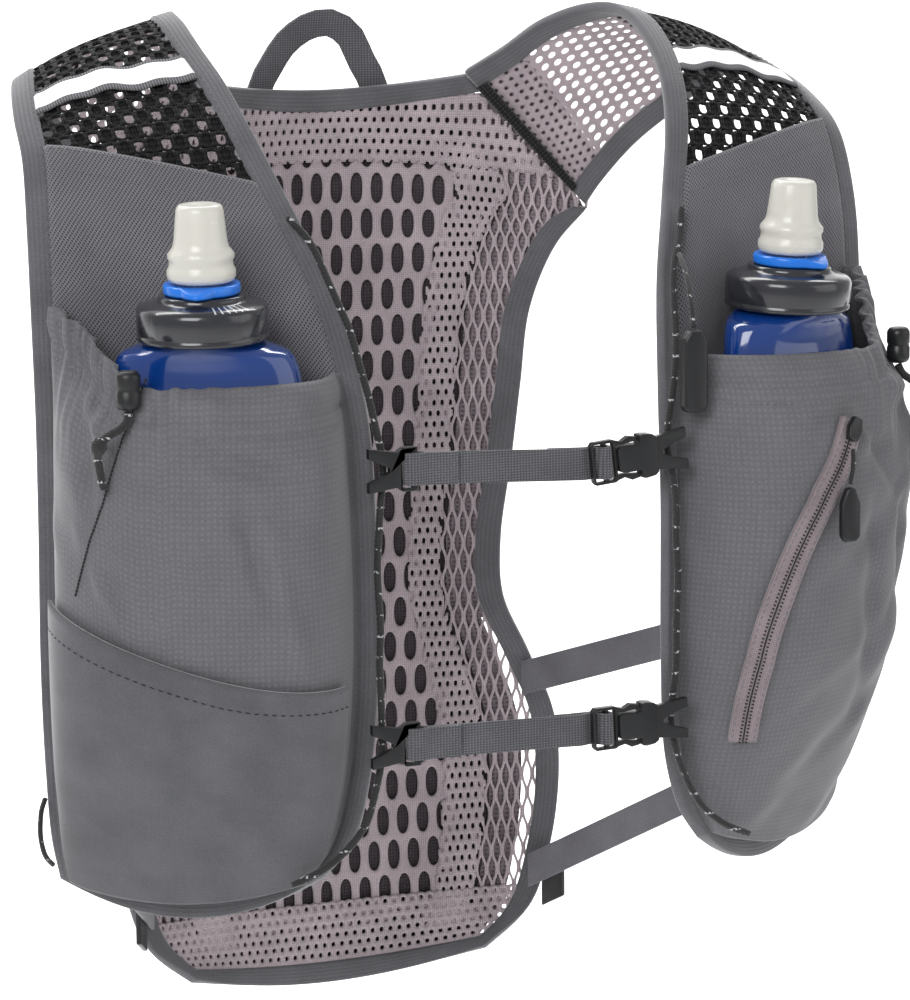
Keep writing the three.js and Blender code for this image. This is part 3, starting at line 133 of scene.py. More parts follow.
# %% [markdown]
# A vest is a handful of curved sheets sewn together, so its surfaces are written as functions. A few
# sections across the front panel, and a few rows down the back, are joined by smooth curves. Every cloth,
# tape and stitch then asks the same functions where it lies, which keeps them all on one shape.

# %% Curves and tables
HALF_WIDTH = 170
FRONT_REACH = 120
FRONT_DROP = 318
BACK_HALF_WIDTH = 101
BACK_REACH = 100
BACK_DROP = 412

# Sections of one front panel, from the yoke seam over the shoulder to the hem, in shares of those sizes
STATION_COLUMNS = (
    "neck_out", "neck_fore", "neck_down", "arm_out", "arm_fore", "arm_down", "bow", "sag", "pocket",
)
STATIONS = np.array([
    (0.341, -0.760, 0.075, 0.641, -0.660, 0.255, 0.00, 0.00, 0.00),
    (0.390, -0.580, 0.047, 0.665, -0.600, 0.226, 0.10, 0.00, 0.00),
    (0.445, -0.380, 0.012, 0.729, -0.500, 0.175, 0.20, 0.00, 0.00),
    (0.502, -0.200, -0.006, 0.800, -0.400, 0.135, 0.28, 0.00, 0.00),
    (0.536, -0.040, -0.008, 0.865, -0.240, 0.094, 0.32, 0.00, 0.00),
    (0.546, 0.100, 0.003, 0.912, -0.060, 0.070, 0.32, 0.00, 0.00),
    (0.544, 0.250, 0.030, 0.947, 0.100, 0.083, 0.28, 0.00, 0.00),
    (0.526, 0.417, 0.070, 0.976, 0.267, 0.112, 0.22, 0.00, 0.00),
    (0.497, 0.548, 0.124, 0.990, 0.400, 0.149, 0.15, 0.00, 0.10),
    (0.438, 0.700, 0.214, 1.000, 0.475, 0.220, 0.00, 0.00, 0.22),
    (0.380, 0.842, 0.308, 1.003, 0.508, 0.308, -0.19, 0.00, 0.60),
    (0.345, 0.960, 0.434, 1.000, 0.517, 0.434, -0.31, 0.00, 0.97),
    (0.338, 1.000, 0.560, 1.000, 0.517, 0.560, -0.31, 0.00, 1.00),
    (0.338, 1.000, 0.748, 1.000, 0.500, 0.748, -0.31, 0.00, 0.84),
    (0.356, 0.975, 0.874, 0.985, 0.458, 0.874, -0.25, 0.00, 0.55),
    (0.394, 0.967, 0.943, 0.965, 0.417, 0.950, -0.12, 0.38, 0.28),
    (0.453, 0.930, 0.984, 0.941, 0.400, 1.000, 0.00, 1.00, 0.06),
])
LAST_STATION = len(STATIONS) - 1

# Rows of the back panel from the neck to the hem. The first three end on the yoke seam.
ARMHOLE_ROW = 2
# Each point of the side edge is out, aft and down. Each point of the middle is aft and down.
BACK_EDGE = np.array([
    (0.960, 0.71, 0.238), (0.861, 0.76, 0.303), (0.822, 0.78, 0.383), (0.782, 0.79, 0.461),
    (0.733, 0.80, 0.545), (0.743, 0.80, 0.607), (0.861, 0.80, 0.670), (0.975, 0.80, 0.735),
    (1.000, 0.80, 0.796), (0.961, 0.80, 0.874), (0.861, 0.80, 0.942), (0.654, 0.83, 0.985),
])
BACK_MIDDLE = np.array([
    (0.97, 0.075), (0.98, 0.120), (0.99, 0.175), (1.00, 0.240), (1.01, 0.306), (1.02, 0.388), (1.03, 0.466),
    (1.03, 0.549), (1.03, 0.610), (1.03, 0.676), (1.02, 0.745), (1.02, 0.806), (1.01, 0.883), (1.00, 0.956),
    (0.99, 1.016),
])
LAST_BACK_ROW = len(BACK_MIDDLE) - 1


def column(name):
    return STATIONS[:, STATION_COLUMNS.index(name)]


def smooth_curve(points):
    """A centripetal curve through points, read by shares from 0 to 1."""
    points = np.asarray(points, float)
    padded = np.vstack([2 * points[0] - points[1], points, 2 * points[-1] - points[-2]])

    def read(share):
        place = np.clip(np.asarray(share, float), 0, 1) * (len(points) - 1)
        start = np.minimum(place.astype(int), len(points) - 2)
        part = (place - start)[..., None]
        a, b, c, d = (padded[start + step] for step in range(4))
        before, here, after = (
            np.sum((q - p) ** 2, -1, keepdims=True) ** 0.25 for p, q in ((a, b), (b, c), (c, d)))
        leaving = ((b - a) / before - (c - a) / (before + here) + (c - b) / here) * here
        coming = ((c - b) / here - (d - b) / (here + after) + (d - c) / after) * here
        square = -3 * b + 3 * c - 2 * leaving - coming
        cube = 2 * b - 2 * c + leaving + coming
        return b + leaving * part + square * part ** 2 + cube * part ** 3

    return read


def unit(vectors):
    return vectors / np.linalg.norm(vectors, axis=-1, keepdims=True)


def smoothstep(value, low, high):
    part = np.clip((np.asarray(value, float) - low) / (high - low), 0, 1)
    return part * part * (3 - 2 * part)


def edge_curve(out, fore, down):
    y = np.where(fore > 0, -fore * FRONT_REACH, -fore * BACK_REACH)
    return smooth_curve(np.stack([out * HALF_WIDTH, y, -down * FRONT_DROP], -1))


neck_edge = edge_curve(column("neck_out"), column("neck_fore"), column("neck_down"))
arm_edge = edge_curve(column("arm_out"), column("arm_fore"), column("arm_down"))
print("neck edge at the chest", neck_edge(12 / LAST_STATION).round(1))

# %% [markdown]
# The front panel is a ruled strip between its neck edge and its arm edge, bowed across like cloth over a
# chest. Lift is the height above its inner face, so that layers can be laid on each other.

# %% Surface of the front panel
PANEL_FULLNESS = 16
TANGENT_STEP = 0.0001


def along_edge(edge, share):
    return unit(edge(np.minimum(share + TANGENT_STEP, 1)) - edge(np.maximum(share - TANGENT_STEP, 0)))


def panel_face(station, across):
    station, across = np.broadcast_arrays(np.asarray(station, float), np.asarray(across, float))
    share = np.clip(station / LAST_STATION, 0, 1)
    neck = neck_edge(share)
    chord = arm_edge(share) - neck
    out = unit(np.cross(along_edge(neck_edge, share) + along_edge(arm_edge, share), chord))
    fullness = (PANEL_FULLNESS * 4 * across * (1 - across))[..., None]
    rows = np.arange(LAST_STATION + 1)
    bow = np.interp(station, rows, column("bow"))[..., None]
    sag = np.interp(station, rows, column("sag"))[..., None]
    return neck + chord * across[..., None] + out * bow * fullness - np.array([0, 0, 1]) * sag * fullness


def face_normal(face, u, v, step_u, step_v):
    return unit(np.cross(face(u + step_u, v) - face(u - step_u, v),
                         face(u, v + step_v) - face(u, v - step_v)))


def on_panel(station, across, lift):
    station, across, lift = np.broadcast_arrays(*(np.asarray(v, float) for v in (station, across, lift)))
    inside = np.clip(station, 0.02, LAST_STATION - 0.02)
    return panel_face(station, across) + face_normal(panel_face, inside, across, 0.02, 0.01) * lift[..., None]


def distance(a, b):
    return np.linalg.norm(a - b, axis=-1)


GAP = 0.3
LAYER_GAP = 1
SEAM_GAP = 1.8
PANEL_WALL = 3
BINDING_WIDTH = 9.5
BINDING_PROUD = 0.8
SLEEVE_WALL = 1.2
HEM_BINDING = BINDING_WIDTH / distance(panel_face(LAST_STATION, 0.5), panel_face(LAST_STATION - 1, 0.5))
PANEL_END = LAST_STATION - HEM_BINDING


def panel_width(station):
    return distance(panel_face(station, 0), panel_face(station, 1))


def inside_bindings(station, share, clearance=2 * GAP):
    width = panel_width(station)
    border = (BINDING_WIDTH + clearance) / width
    return border + (1 - 2 * border) * share


def inside_panel(station, share, lift):
    return on_panel(station, inside_bindings(station, share), lift)


print("panel is", round(float(panel_width(12)), 1), "mm wide at the chest and ends at station",
      round(PANEL_END, 2))

# %% [markdown]
# The flask pocket stands out from the panel like half of a flattened tube. Its depth comes from the last
# column of the table, and its arm side is tucked in below the top as a gusset does.

# %% Surface of the flask pocket
POCKET_DEPTH = 50
POCKET_WALL = 2
POCKET_ROUNDNESS = 2.5
POCKET_SEAT = PANEL_WALL + 2 * LAYER_GAP + SLEEVE_WALL
POCKET_HEM = 10.67
POCKET_HEM_ARM = 10.05
HEM_RISE_FROM = 0.62
TUCK = 0.5
TUCK_STATIONS = 1.3


def hem_line(share):
    return POCKET_HEM + (POCKET_HEM_ARM - POCKET_HEM) * smoothstep(share, HEM_RISE_FROM, 1)


def pocket_face(station, share):
    station, share = np.broadcast_arrays(np.asarray(station, float), np.asarray(share, float))
    base = on_panel(station, inside_bindings(station, share), POCKET_SEAT)
    chord = panel_face(station, 1) - panel_face(station, 0)
    chord[..., 2] = 0
    chord = unit(chord)
    out = np.stack([chord[..., 1], -chord[..., 0], np.zeros_like(share)], -1)
    profile = (1 - np.abs(2 * share - 1) ** POCKET_ROUNDNESS).clip(0) ** (1 / POCKET_ROUNDNESS)
    below_top = np.maximum(0, station - hem_line(share)) / TUCK_STATIONS
    tuck = TUCK * smoothstep(share, HEM_RISE_FROM, 1) * np.maximum(0, 1 - below_top)
    depth = POCKET_DEPTH * np.interp(station, np.arange(LAST_STATION + 1), column("pocket")) * (1 - tuck)
    return base + out * (depth * profile)[..., None]


def on_pocket(station, share, lift):
    station, share, lift = np.broadcast_arrays(*(np.asarray(v, float) for v in (station, share, lift)))
    level = np.minimum(station, PANEL_END - 0.05)
    normal = face_normal(pocket_face, level, np.clip(share, 0.012, 0.988), 0.04, 0.01)
    return pocket_face(station, share) + normal * lift[..., None]


print("pocket front at the chest", on_pocket(12.5, 0.5, 0).round(1))

# %% [markdown]
# The back is one sheet from the yoke seams to the hem. Row 0 is the neck, and across runs from -1 to 1.

# %% Surface of the back
back_middle = smooth_curve(np.stack([
    np.zeros(LAST_BACK_ROW + 1), BACK_MIDDLE[:, 0] * BACK_REACH, -BACK_MIDDLE[:, 1] * BACK_DROP], -1))
seam_drop = np.array([0, 0, SEAM_GAP])
back_side = smooth_curve(np.vstack([
    panel_face(0, 1) - seam_drop,
    BACK_EDGE * np.array([BACK_HALF_WIDTH, BACK_REACH, -BACK_DROP]),
]))


def back_edge(row):
    row = np.asarray(row, float)
    seam = panel_face(0, np.clip(row / ARMHOLE_ROW, 0, 1)) - seam_drop
    side = back_side((row - ARMHOLE_ROW) / (LAST_BACK_ROW - ARMHOLE_ROW))
    return np.where((row < ARMHOLE_ROW)[..., None], seam, side)


def back_face(row, across):
    row, across = np.broadcast_arrays(np.asarray(row, float), np.asarray(across, float))
    share = np.clip(row / LAST_BACK_ROW, 0, 1)
    edge, middle = back_edge(share * LAST_BACK_ROW), back_middle(share)
    turn = across ** 2
    return np.stack([
        edge[..., 0] * across,
        middle[..., 1] + (edge[..., 1] - middle[..., 1]) * turn,
        middle[..., 2] + (edge[..., 2] - middle[..., 2]) * turn,
    ], -1)


def on_back(row, across, lift):
    row, across, lift = np.broadcast_arrays(*(np.asarray(v, float) for v in (row, across, lift)))
    inside = np.clip(row, 0.02, LAST_BACK_ROW - 0.02)
    return back_face(row, across) - face_normal(back_face, inside, across, 0.02, 0.01) * lift[..., None]


def rows_over(length, row, across, step):
    return length * abs(step) / distance(back_face(row, across), back_face(row + step, across))


RAMP_ROWS = 0.5


def back_border(row):
    return BINDING_WIDTH / back_edge(row)[..., 0] * smoothstep(row, ARMHOLE_ROW - RAMP_ROWS,
                                                               ARMHOLE_ROW + RAMP_ROWS)


HEM_ROW = LAST_BACK_ROW - float(rows_over(BINDING_WIDTH, LAST_BACK_ROW, 0, -0.2))
print("back hem starts at row", round(HEM_ROW, 2))

# %% [markdown]
# Cloth is drawn as a closed wall: two grids of points, a small distance apart, joined round their rim.
# Each wall also gets flat coordinates, the distances along and across it in millimetres. A weave laid on
# those keeps its thread spacing wherever the cloth bends.

# %% Meshes of walls, bands and tubes
FLAT = "flat"
CORD_SIDES = 12
CORD_STEP = 1.0


def new_object(name, points, faces, material, flat=None):
    """points in mm, faces as index lists, flat as two mm coordinates for each point."""
    mesh = bpy.data.meshes.new(name)
    mesh.from_pydata((np.asarray(points, float) * MM).tolist(), [], [list(face) for face in faces])
    mesh.validate()
    if flat is not None:
        layer = mesh.uv_layers.new(name=FLAT)
        corners = np.empty(len(mesh.loops), dtype=np.int32)
        mesh.loops.foreach_get("vertex_index", corners)
        layer.data.foreach_set("uv", (np.asarray(flat, float)[corners] * MM).ravel())
    mesh.shade_smooth()
    obj = bpy.data.objects.new(name, mesh)
    bpy.context.scene.collection.objects.link(obj)
    if material:
        mesh.materials.append(material)
    return obj


def grid_lengths(points):
    """Distances along the middle column and across each row, for a grid of points."""
    middle = points.shape[1] // 2
    down = np.concatenate([[0], np.cumsum(distance(points[1:, middle], points[:-1, middle]))])
    steps = distance(points[:, 1:], points[:, :-1])
    across = np.concatenate([np.zeros((len(points), 1)), np.cumsum(steps, 1)], 1)
    across -= across[:, middle:middle + 1]
    return np.stack([across, np.repeat(down[:, None], points.shape[1], 1)], -1)


def grid_faces(rows, columns, start=0, turned=False):
    faces = []
    for row in range(rows - 1):
        for step in range(columns - 1):
            a = start + row * columns + step
            quad = (a, a + columns, a + columns + 1, a + 1)
            faces.append(quad[::-1] if turned else quad)
    return faces


def outward(points, faces):
    """Turns a closed shape's faces outwards, by the sign of its volume."""
    corners = np.asarray(points, float)
    corners = corners - corners.mean(0)
    volume = 0.0
    for sides in {len(face) for face in faces}:
        rings = corners[np.array([face for face in faces if len(face) == sides])]
        for step in range(1, sides - 1):
            volume += np.sum(rings[:, 0] * np.cross(rings[:, step], rings[:, step + 1]))
    return faces if volume > 0 else [tuple(reversed(face)) for face in faces]


def mirror(points):
    return np.asarray(points) * np.array([-1, 1, 1])


def wall(name, inner, outer, material, sign=1, flat=None):
    """A closed wall between two grids of points with the same rows and columns."""
    rows, columns = outer.shape[:2]
    count = rows * columns
    faces = grid_faces(rows, columns) + grid_faces(rows, columns, count, turned=True)
    rim = [row * columns for row in range(rows)]
    rim += [(rows - 1) * columns + step for step in range(1, columns)]
    rim += [row * columns + columns - 1 for row in range(rows - 2, -1, -1)]
    rim += list(range(columns - 2, 0, -1))
    for a, b in zip(rim, rim[1:] + rim[:1]):
        faces.append((b, a, a + count, b + count))
    flat = grid_lengths(outer) if flat is None else flat
    points = np.concatenate([outer.reshape(-1, 3), inner.reshape(-1, 3)])
    if sign < 0:
        points = mirror(points)
    return new_object(name, points, outward(points, faces), material, np.tile(flat.reshape(-1, 2), (2, 1)))


def ring_tube(name, rings, material, sign=1):
    """A closed skin over rings of points, each with as many points as the next."""
    rings = np.asarray(rings, float)
    count, sides = rings.shape[:2]
    if sign < 0:
        rings = mirror(rings)
    faces = []
    for ring in range(count - 1):
        after = ring + 1
        for side in range(sides):
            step = (side + 1) % sides
            faces.append((ring * sides + side, after * sides + side, after * sides + step,
                          ring * sides + step))
    faces.append(tuple(range(sides)))
    faces.append(tuple(range(count * sides - 1, (count - 1) * sides - 1, -1)))
    points = rings.reshape(-1, 3)
    middles = rings.mean(1)
    down = np.concatenate([[0], np.cumsum(distance(middles[1:], middles[:-1]))])
    round_length = distance(rings, np.roll(rings, -1, 1)).sum(1).mean()
    around = np.linspace(0, round_length, sides, endpoint=False)
    flat = np.stack(np.meshgrid(around, down), -1).reshape(-1, 2)
    return new_object(name, points, outward(points, faces), material, flat)


def round_cord(name, points, diameter, material, sign=1, radii=None):
    """A cord along a smooth curve, with its end rings drawn in. radii are shares of it and their widths."""
    points = np.asarray(points, float)
    share = np.linspace(0, 1, max(8, int(distance(points[1:], points[:-1]).sum() / CORD_STEP)))
    path = smooth_curve(points)(share)
    radius = np.full(len(path), diameter / 2) if radii is None else np.interp(share, *radii) / 2
    normals = [unit(np.cross(path[1] - path[0], (0.3, 0.5, 0.81)))]
    run = unit(np.gradient(path, axis=0))
    for here in run[1:]:
        last = normals[-1] - here * (normals[-1] @ here)
        normals.append(unit(last))
    normals = np.array(normals)
    other = np.cross(run, normals)
    angle = np.linspace(0, 2 * np.pi, CORD_SIDES, endpoint=False)
    ring = np.cos(angle)[None, :, None] * normals[:, None] + np.sin(angle)[None, :, None] * other[:, None]
    rings = path[:, None] + ring * radius[:, None, None]
    first = path[0] + (rings[0] - path[0]) * 0.55 - run[0] * diameter * 0.12
    last = path[-1] + (rings[-1] - path[-1]) * 0.55 + run[-1] * diameter * 0.12
    rings = np.concatenate([[first], rings, [last]])
    return ring_tube(name, rings, material, sign=sign), path if sign > 0 else mirror(path)


def settle(piece, slot, *nodes, body="vest"):
    """The piece rides on a body and stands for those solids, which it hides. The slot is not used."""
    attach(piece, body)
    if nodes:
        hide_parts(*nodes)
    return piece


def made_plain(obj, name):
    """The evaluated object as a plain mesh object of that name, with the first one removed."""
    depsgraph = bpy.context.evaluated_depsgraph_get()
    mesh = bpy.data.meshes.new_from_object(obj.evaluated_get(depsgraph))
    mesh.name = name
    plain = bpy.data.objects.new(name, mesh)
    bpy.context.scene.collection.objects.link(plain)
    bpy.data.objects.remove(obj)
    return plain


def finished(node, name, material, bevel=0.0, smooth=0, plane=(0, 2)):
    """A CAD solid as a piece of its own: merged, then with rounded edges or smoothed all over."""
    mesh = frame["nodes"][node].data.copy()
    mesh.materials.clear()
    mesh.materials.append(material)
    shape = bmesh.new()
    shape.from_mesh(mesh)
    bmesh.ops.remove_doubles(shape, verts=shape.verts, dist=0.01 * MM)
    if bevel:
        bmesh.ops.dissolve_limit(shape, angle_limit=math.radians(3), verts=shape.verts, edges=shape.edges)
    shape.to_mesh(mesh)
    shape.free()
    layer = mesh.uv_layers.new(name=FLAT)
    for loop in mesh.loops:
        place = mesh.vertices[loop.vertex_index].co
        layer.data[loop.index].uv = (place[plane[0]], place[plane[1]])
    mesh.shade_smooth()
    obj = bpy.data.objects.new(name + "_plain", mesh)
    bpy.context.scene.collection.objects.link(obj)
    if bevel:
        rounding = obj.modifiers.new("rounding", "BEVEL")
        rounding.width = bevel * MM
        rounding.segments = 3
        rounding.limit_method = "ANGLE"
        rounding.angle_limit = math.radians(28)
        rounding.harden_normals = True
    if smooth:
        soft = obj.modifiers.new("soft", "SUBSURF")
        soft.levels = soft.render_levels = smooth
    return made_plain(obj, name)


def mirrored_piece(piece, name):
    """The mirror image of a mesh object, for the wearer's right."""
    mesh = piece.data.copy()
    places = np.empty(len(mesh.vertices) * 3)
    mesh.vertices.foreach_get("co", places)
    places[0::3] *= -1
    mesh.vertices.foreach_set("co", places)
    mesh.flip_normals()
    obj = bpy.data.objects.new(name, mesh)
    bpy.context.scene.collection.objects.link(obj)
    return obj


def turned_body(name, profile, sides, material, swell=None):
    """A turned shape about +Z from (radius, height) rows, with an optional change of radius round it."""
    angle = np.linspace(0, 2 * np.pi, sides, endpoint=False)
    profile = np.asarray(profile, float)
    radius = np.repeat(profile[:, :1], sides, 1)
    if swell is not None:
        radius = radius + swell(angle[None, :], profile[:, 1:2])
    rings = np.stack([radius * np.cos(angle), radius * np.sin(angle), np.repeat(profile[:, 1:2], sides, 1)],
                     -1)
    return ring_tube(name, rings, material)


def placed(obj, turn, origin):
    """Turns a mesh's points by a 3 x 3 matrix and sets them down at an origin in mm."""
    places = np.empty(len(obj.data.vertices) * 3)
    obj.data.vertices.foreach_get("co", places)
    places = places.reshape(-1, 3) @ np.asarray(turn).T + np.asarray(origin) * MM
    obj.data.vertices.foreach_set("co", places.ravel())
    obj.data.update()
    return obj


def as_sheet(piece):
    """Reads a cloth's flat coordinates; nothing is done with them."""
    uv = np.empty(len(piece.data.loops) * 2)
    piece.data.uv_layers[FLAT].data.foreach_get("uv", uv)


def pair(make):
    """Makes a piece for the wearer's left and its mirror image for the right."""
    return [make(side, sign) for side, sign in (("left", 1), ("right", -1))]


print("wall, tube and cord helpers ready")

# %% [markdown]
# Every finish is made of nodes. Colours are typed as they look on a screen, and one function turns them
# to the linear values that the renderer adds up.

# %% Nodes and colours
def srgb(code):
    channels = [((code >> shift) & 255) / 255 for shift in (16, 8, 0)]
    return [c / 12.92 if c <= 0.04045 else ((c + 0.055) / 1.055) ** 2.4 for c in channels] + [1]


def add(tree, kind, inputs=None, **settings):
    """Adds a node with its settings, and sets or links its inputs by name or number."""
    node = tree.nodes.new(kind)
    for name, value in settings.items():
        setattr(node, name, value)
    for key, value in (inputs or {}).items():
        socket = node.inputs[key]
        if isinstance(value, bpy.types.NodeSocket):
            tree.links.new(value, socket)
        else:
            socket.default_value = value
    return node


def new_material(name):
    material = bpy.data.materials.new(name)
    material.use_nodes = True
    tree = material.node_tree
    tree.nodes.clear()
    shader = add(tree, "ShaderNodeBsdfPrincipled")
    add(tree, "ShaderNodeOutputMaterial", {"Surface": shader.outputs[0]})
    return material, tree, shader


def paint(tree, shader, **sockets):
    """Sets or links the shader's sockets, named with underscores for spaces."""
    for name, value in sockets.items():
        socket = shader.inputs[name.replace("_", " ")]
        if isinstance(value, bpy.types.NodeSocket):
            tree.links.new(value, socket)
        else:
            socket.default_value = value


# A wave texture repeats every pi / 10 units at scale 1, so this turns a spacing in mm to its scale
def wave_scale(spacing):
    return math.pi / 10 / (spacing * MM)


# %% [markdown]
# Woven and knitted cloth has three signs: threads at a known spacing, a little sheen at grazing angles,
# and slow changes of tone where the dye and the light vary. One function gives the three, and its threads
# are two waves that cross. Spacings under half a millimetre wouldn't show, so the finest is drawn at 0.7 mm.

# %% Woven cloth
def cloth_material(name, light, dark, across, along, bump=0.3, roughness=0.85, sheen=0.25, mottle=0.12,
                   crossing="MULTIPLY"):
    material, tree, shader = new_material(name)
    flat = add(tree, "ShaderNodeUVMap", uv_map=FLAT).outputs[0]
    warp = add(tree, "ShaderNodeTexWave", {"Vector": flat, "Scale": wave_scale(across), "Distortion": 0.4,
                                           "Detail": 1, "Detail Scale": 2},
               bands_direction="X").outputs["Fac"]
    weft = add(tree, "ShaderNodeTexWave", {"Vector": flat, "Scale": wave_scale(along), "Distortion": 0.4,
                                           "Detail": 1, "Detail Scale": 2},
               bands_direction="Y").outputs["Fac"]
    threads = add(tree, "ShaderNodeMath", {0: warp, 1: weft}, operation=crossing).outputs[0]
    place = add(tree, "ShaderNodeTexCoord").outputs["Object"]
    slow = add(tree, "ShaderNodeTexNoise", {"Vector": place, "Scale": 60, "Detail": 3}).outputs["Fac"]
    fleck = add(tree, "ShaderNodeTexNoise", {"Vector": place, "Scale": 1400, "Detail": 2}).outputs["Fac"]
    tone = add(tree, "ShaderNodeMix", {"Factor": threads, "A": srgb(dark), "B": srgb(light)},
               data_type="RGBA")
    slow_value = add(tree, "ShaderNodeMapRange",
                     {0: slow, 1: 0.3, 2: 0.7, 3: 1 - mottle, 4: 1 + mottle}).outputs[0]
    fleck_value = add(tree, "ShaderNodeMapRange", {0: fleck, 1: 0.3, 2: 0.7, 3: 0.9, 4: 1.1}).outputs[0]
    value = add(tree, "ShaderNodeMath", {0: slow_value, 1: fleck_value}, operation="MULTIPLY").outputs[0]
    colour = add(tree, "ShaderNodeHueSaturation",
                 {"Value": value, "Color": tone.outputs["Result"]}).outputs[0]
    height = add(tree, "ShaderNodeMath", {0: fleck, 1: 0.4, 2: threads}, operation="MULTIPLY_ADD").outputs[0]
    normal = add(tree, "ShaderNodeBump",
                 {"Strength": bump, "Distance": 0.3 * MM, "Height": height}).outputs[0]
    paint(tree, shader, Base_Color=colour, Roughness=roughness, Sheen_Weight=sheen, Sheen_Roughness=0.4,
          Specular_IOR_Level=0.25, Normal=normal)
    return material


# Warp-knitted polyester, dyed black, with a dull face
strap_net = cloth_material("black spacer mesh", 0x2b2b2e, 0x0d0d0e, 1.1, 2.3, bump=0.7, sheen=0.1)
# Soft pink grey polyester net, rubbed matt
back_net = cloth_material("pink grey knitted net", 0xc9bcc1, 0xa4989d, 0.9, 0.8, bump=0.5, sheen=0.3)
# Folded stretch tape, brushed on its outer face
binding_tape = cloth_material("grey brushed binding tape", 0x6c6c70, 0x5a5a5e, 0.8, 0.8, bump=0.35, sheen=0.5)
# Thin nylon ripstop, calendered, so a little smoother than the rest
ripstop = cloth_material("grey nylon ripstop", 0x6c6c70, 0x616165, 2.2, 2.2, bump=0.12, roughness=0.62,
                         sheen=0.2, mottle=0.05)
# Elastane stretch weave with a dull face
stretch_weave = cloth_material("dark grey stretch weave", 0x616165, 0x56565a, 0.7, 0.7, bump=0.2, sheen=0.4)
# Woven polyester webbing
webbing = cloth_material("grey woven webbing", 0x75757a, 0x4a4a4e, 1.2, 1.0, bump=0.6)
# Knitted elastic, brushed
elastic = cloth_material("grey knitted elastic", 0x77767b, 0x67666b, 0.8, 0.9, bump=0.3, sheen=0.4)
# Woven tape of a coil zip
zip_cloth = cloth_material("pink grey zip tape", 0xa0959a, 0x7f7478, 0.8, 0.8, bump=0.5)
# Ribbed inner cloth of the rear pouch
pouch_cloth = cloth_material("dark ribbed pouch cloth", 0x4a4347, 0x2a2529, 1.4, 1.4, bump=0.8,
                             crossing="MAXIMUM")
# Pink grey knit behind the lattice
pale_net_cloth = cloth_material("pale pink grey knit", 0x92878c, 0x625a5e, 2.4, 2.0, bump=0.8,
                                crossing="MAXIMUM")
# Woven tape of a shoulder seam
seam_tape = cloth_material("black braided seam tape", 0x333336, 0x101011, 1.6, 1.6, bump=0.8)
print("cloths", [m.name for m in bpy.data.materials])

# %% [markdown]
# Every moulded piece has a very fine grain, and its clearness and gloss are its own. Sewing thread, the
# flecked braid of the cords, the bright tape and the caps with their ticks follow.

# %% Plastics, thread, braid and bright tape
def moulded(name, colour, roughness, coat=0.0, clear=0.0, inner=0.0, grain=0.05):
    material, tree, shader = new_material(name)
    place = add(tree, "ShaderNodeTexCoord").outputs["Object"]
    fine = add(tree, "ShaderNodeTexNoise", {"Vector": place, "Scale": 900, "Detail": 2}).outputs["Fac"]
    broad = add(tree, "ShaderNodeTexNoise", {"Vector": place, "Scale": 35, "Detail": 2}).outputs["Fac"]
    worn = add(tree, "ShaderNodeMapRange",
               {0: broad, 1: 0.3, 2: 0.7, 3: roughness * 0.85, 4: roughness * 1.15})
    normal = add(tree, "ShaderNodeBump", {"Strength": grain, "Distance": 0.2 * MM, "Height": fine}).outputs[0]
    paint(tree, shader, Base_Color=srgb(colour), Roughness=worn.outputs[0], Coat_Weight=coat,
          Coat_Roughness=0.06,
          Transmission_Weight=clear, Subsurface_Weight=inner, Subsurface_Radius=(0.004, 0.004, 0.003),
          IOR=1.46, Normal=normal)
    return material


# Acetal, moulded with a satin face
acetal = moulded("black acetal", 0x1b1c1e, 0.38, grain=0.12)
# Clear blue polyurethane film
blue_film = moulded("clear blue flask film", 0x0f3f8f, 0.12, coat=0.8, clear=0.30)
# Bright blue polypropylene
blue_plastic = moulded("bright blue plastic", 0x1976e0, 0.28, coat=0.3)
# Milky silicone rubber
silicone = moulded("milky silicone", 0xe0ded6, 0.3, coat=0.25, clear=0.2, inner=0.3)
# Polyester sewing thread
grey_thread = moulded("grey thread", 0x6e6e72, 0.7)
black_thread = moulded("black thread", 0x1c1c1e, 0.7)


def cord_material():
    """Black braid with pairs of pale flecks about every 8 mm of height."""
    material, tree, shader = new_material("black flecked cord")
    place = add(tree, "ShaderNodeTexCoord").outputs["Object"]
    braid = add(tree, "ShaderNodeTexWave", {"Vector": place, "Scale": wave_scale(0.9)},
                bands_direction="DIAGONAL")
    band = add(tree, "ShaderNodeTexWave", {"Vector": place, "Scale": wave_scale(8), "Distortion": 1.0},
               bands_direction="Z").outputs["Fac"]
    spot = add(tree, "ShaderNodeTexNoise", {"Vector": place, "Scale": 900, "Detail": 0}).outputs["Fac"]
    near = add(tree, "ShaderNodeMapRange", {0: band, 1: 0.955, 2: 0.985}).outputs[0]
    pale = add(tree, "ShaderNodeMapRange", {0: spot, 1: 0.53, 2: 0.58}).outputs[0]
    fleck = add(tree, "ShaderNodeMath", {0: near, 1: pale}, operation="MULTIPLY").outputs[0]
    tone = add(tree, "ShaderNodeMix", {"Factor": fleck, "A": srgb(0x1a1a1c), "B": srgb(0xb0b0b3)},
               data_type="RGBA")
    normal = add(tree, "ShaderNodeBump",
                 {"Strength": 0.5, "Distance": 0.3 * MM, "Height": braid.outputs["Fac"]})
    paint(tree, shader, Base_Color=tone.outputs["Result"], Roughness=0.75, Sheen_Weight=0.2,
          Normal=normal.outputs[0])
    return material


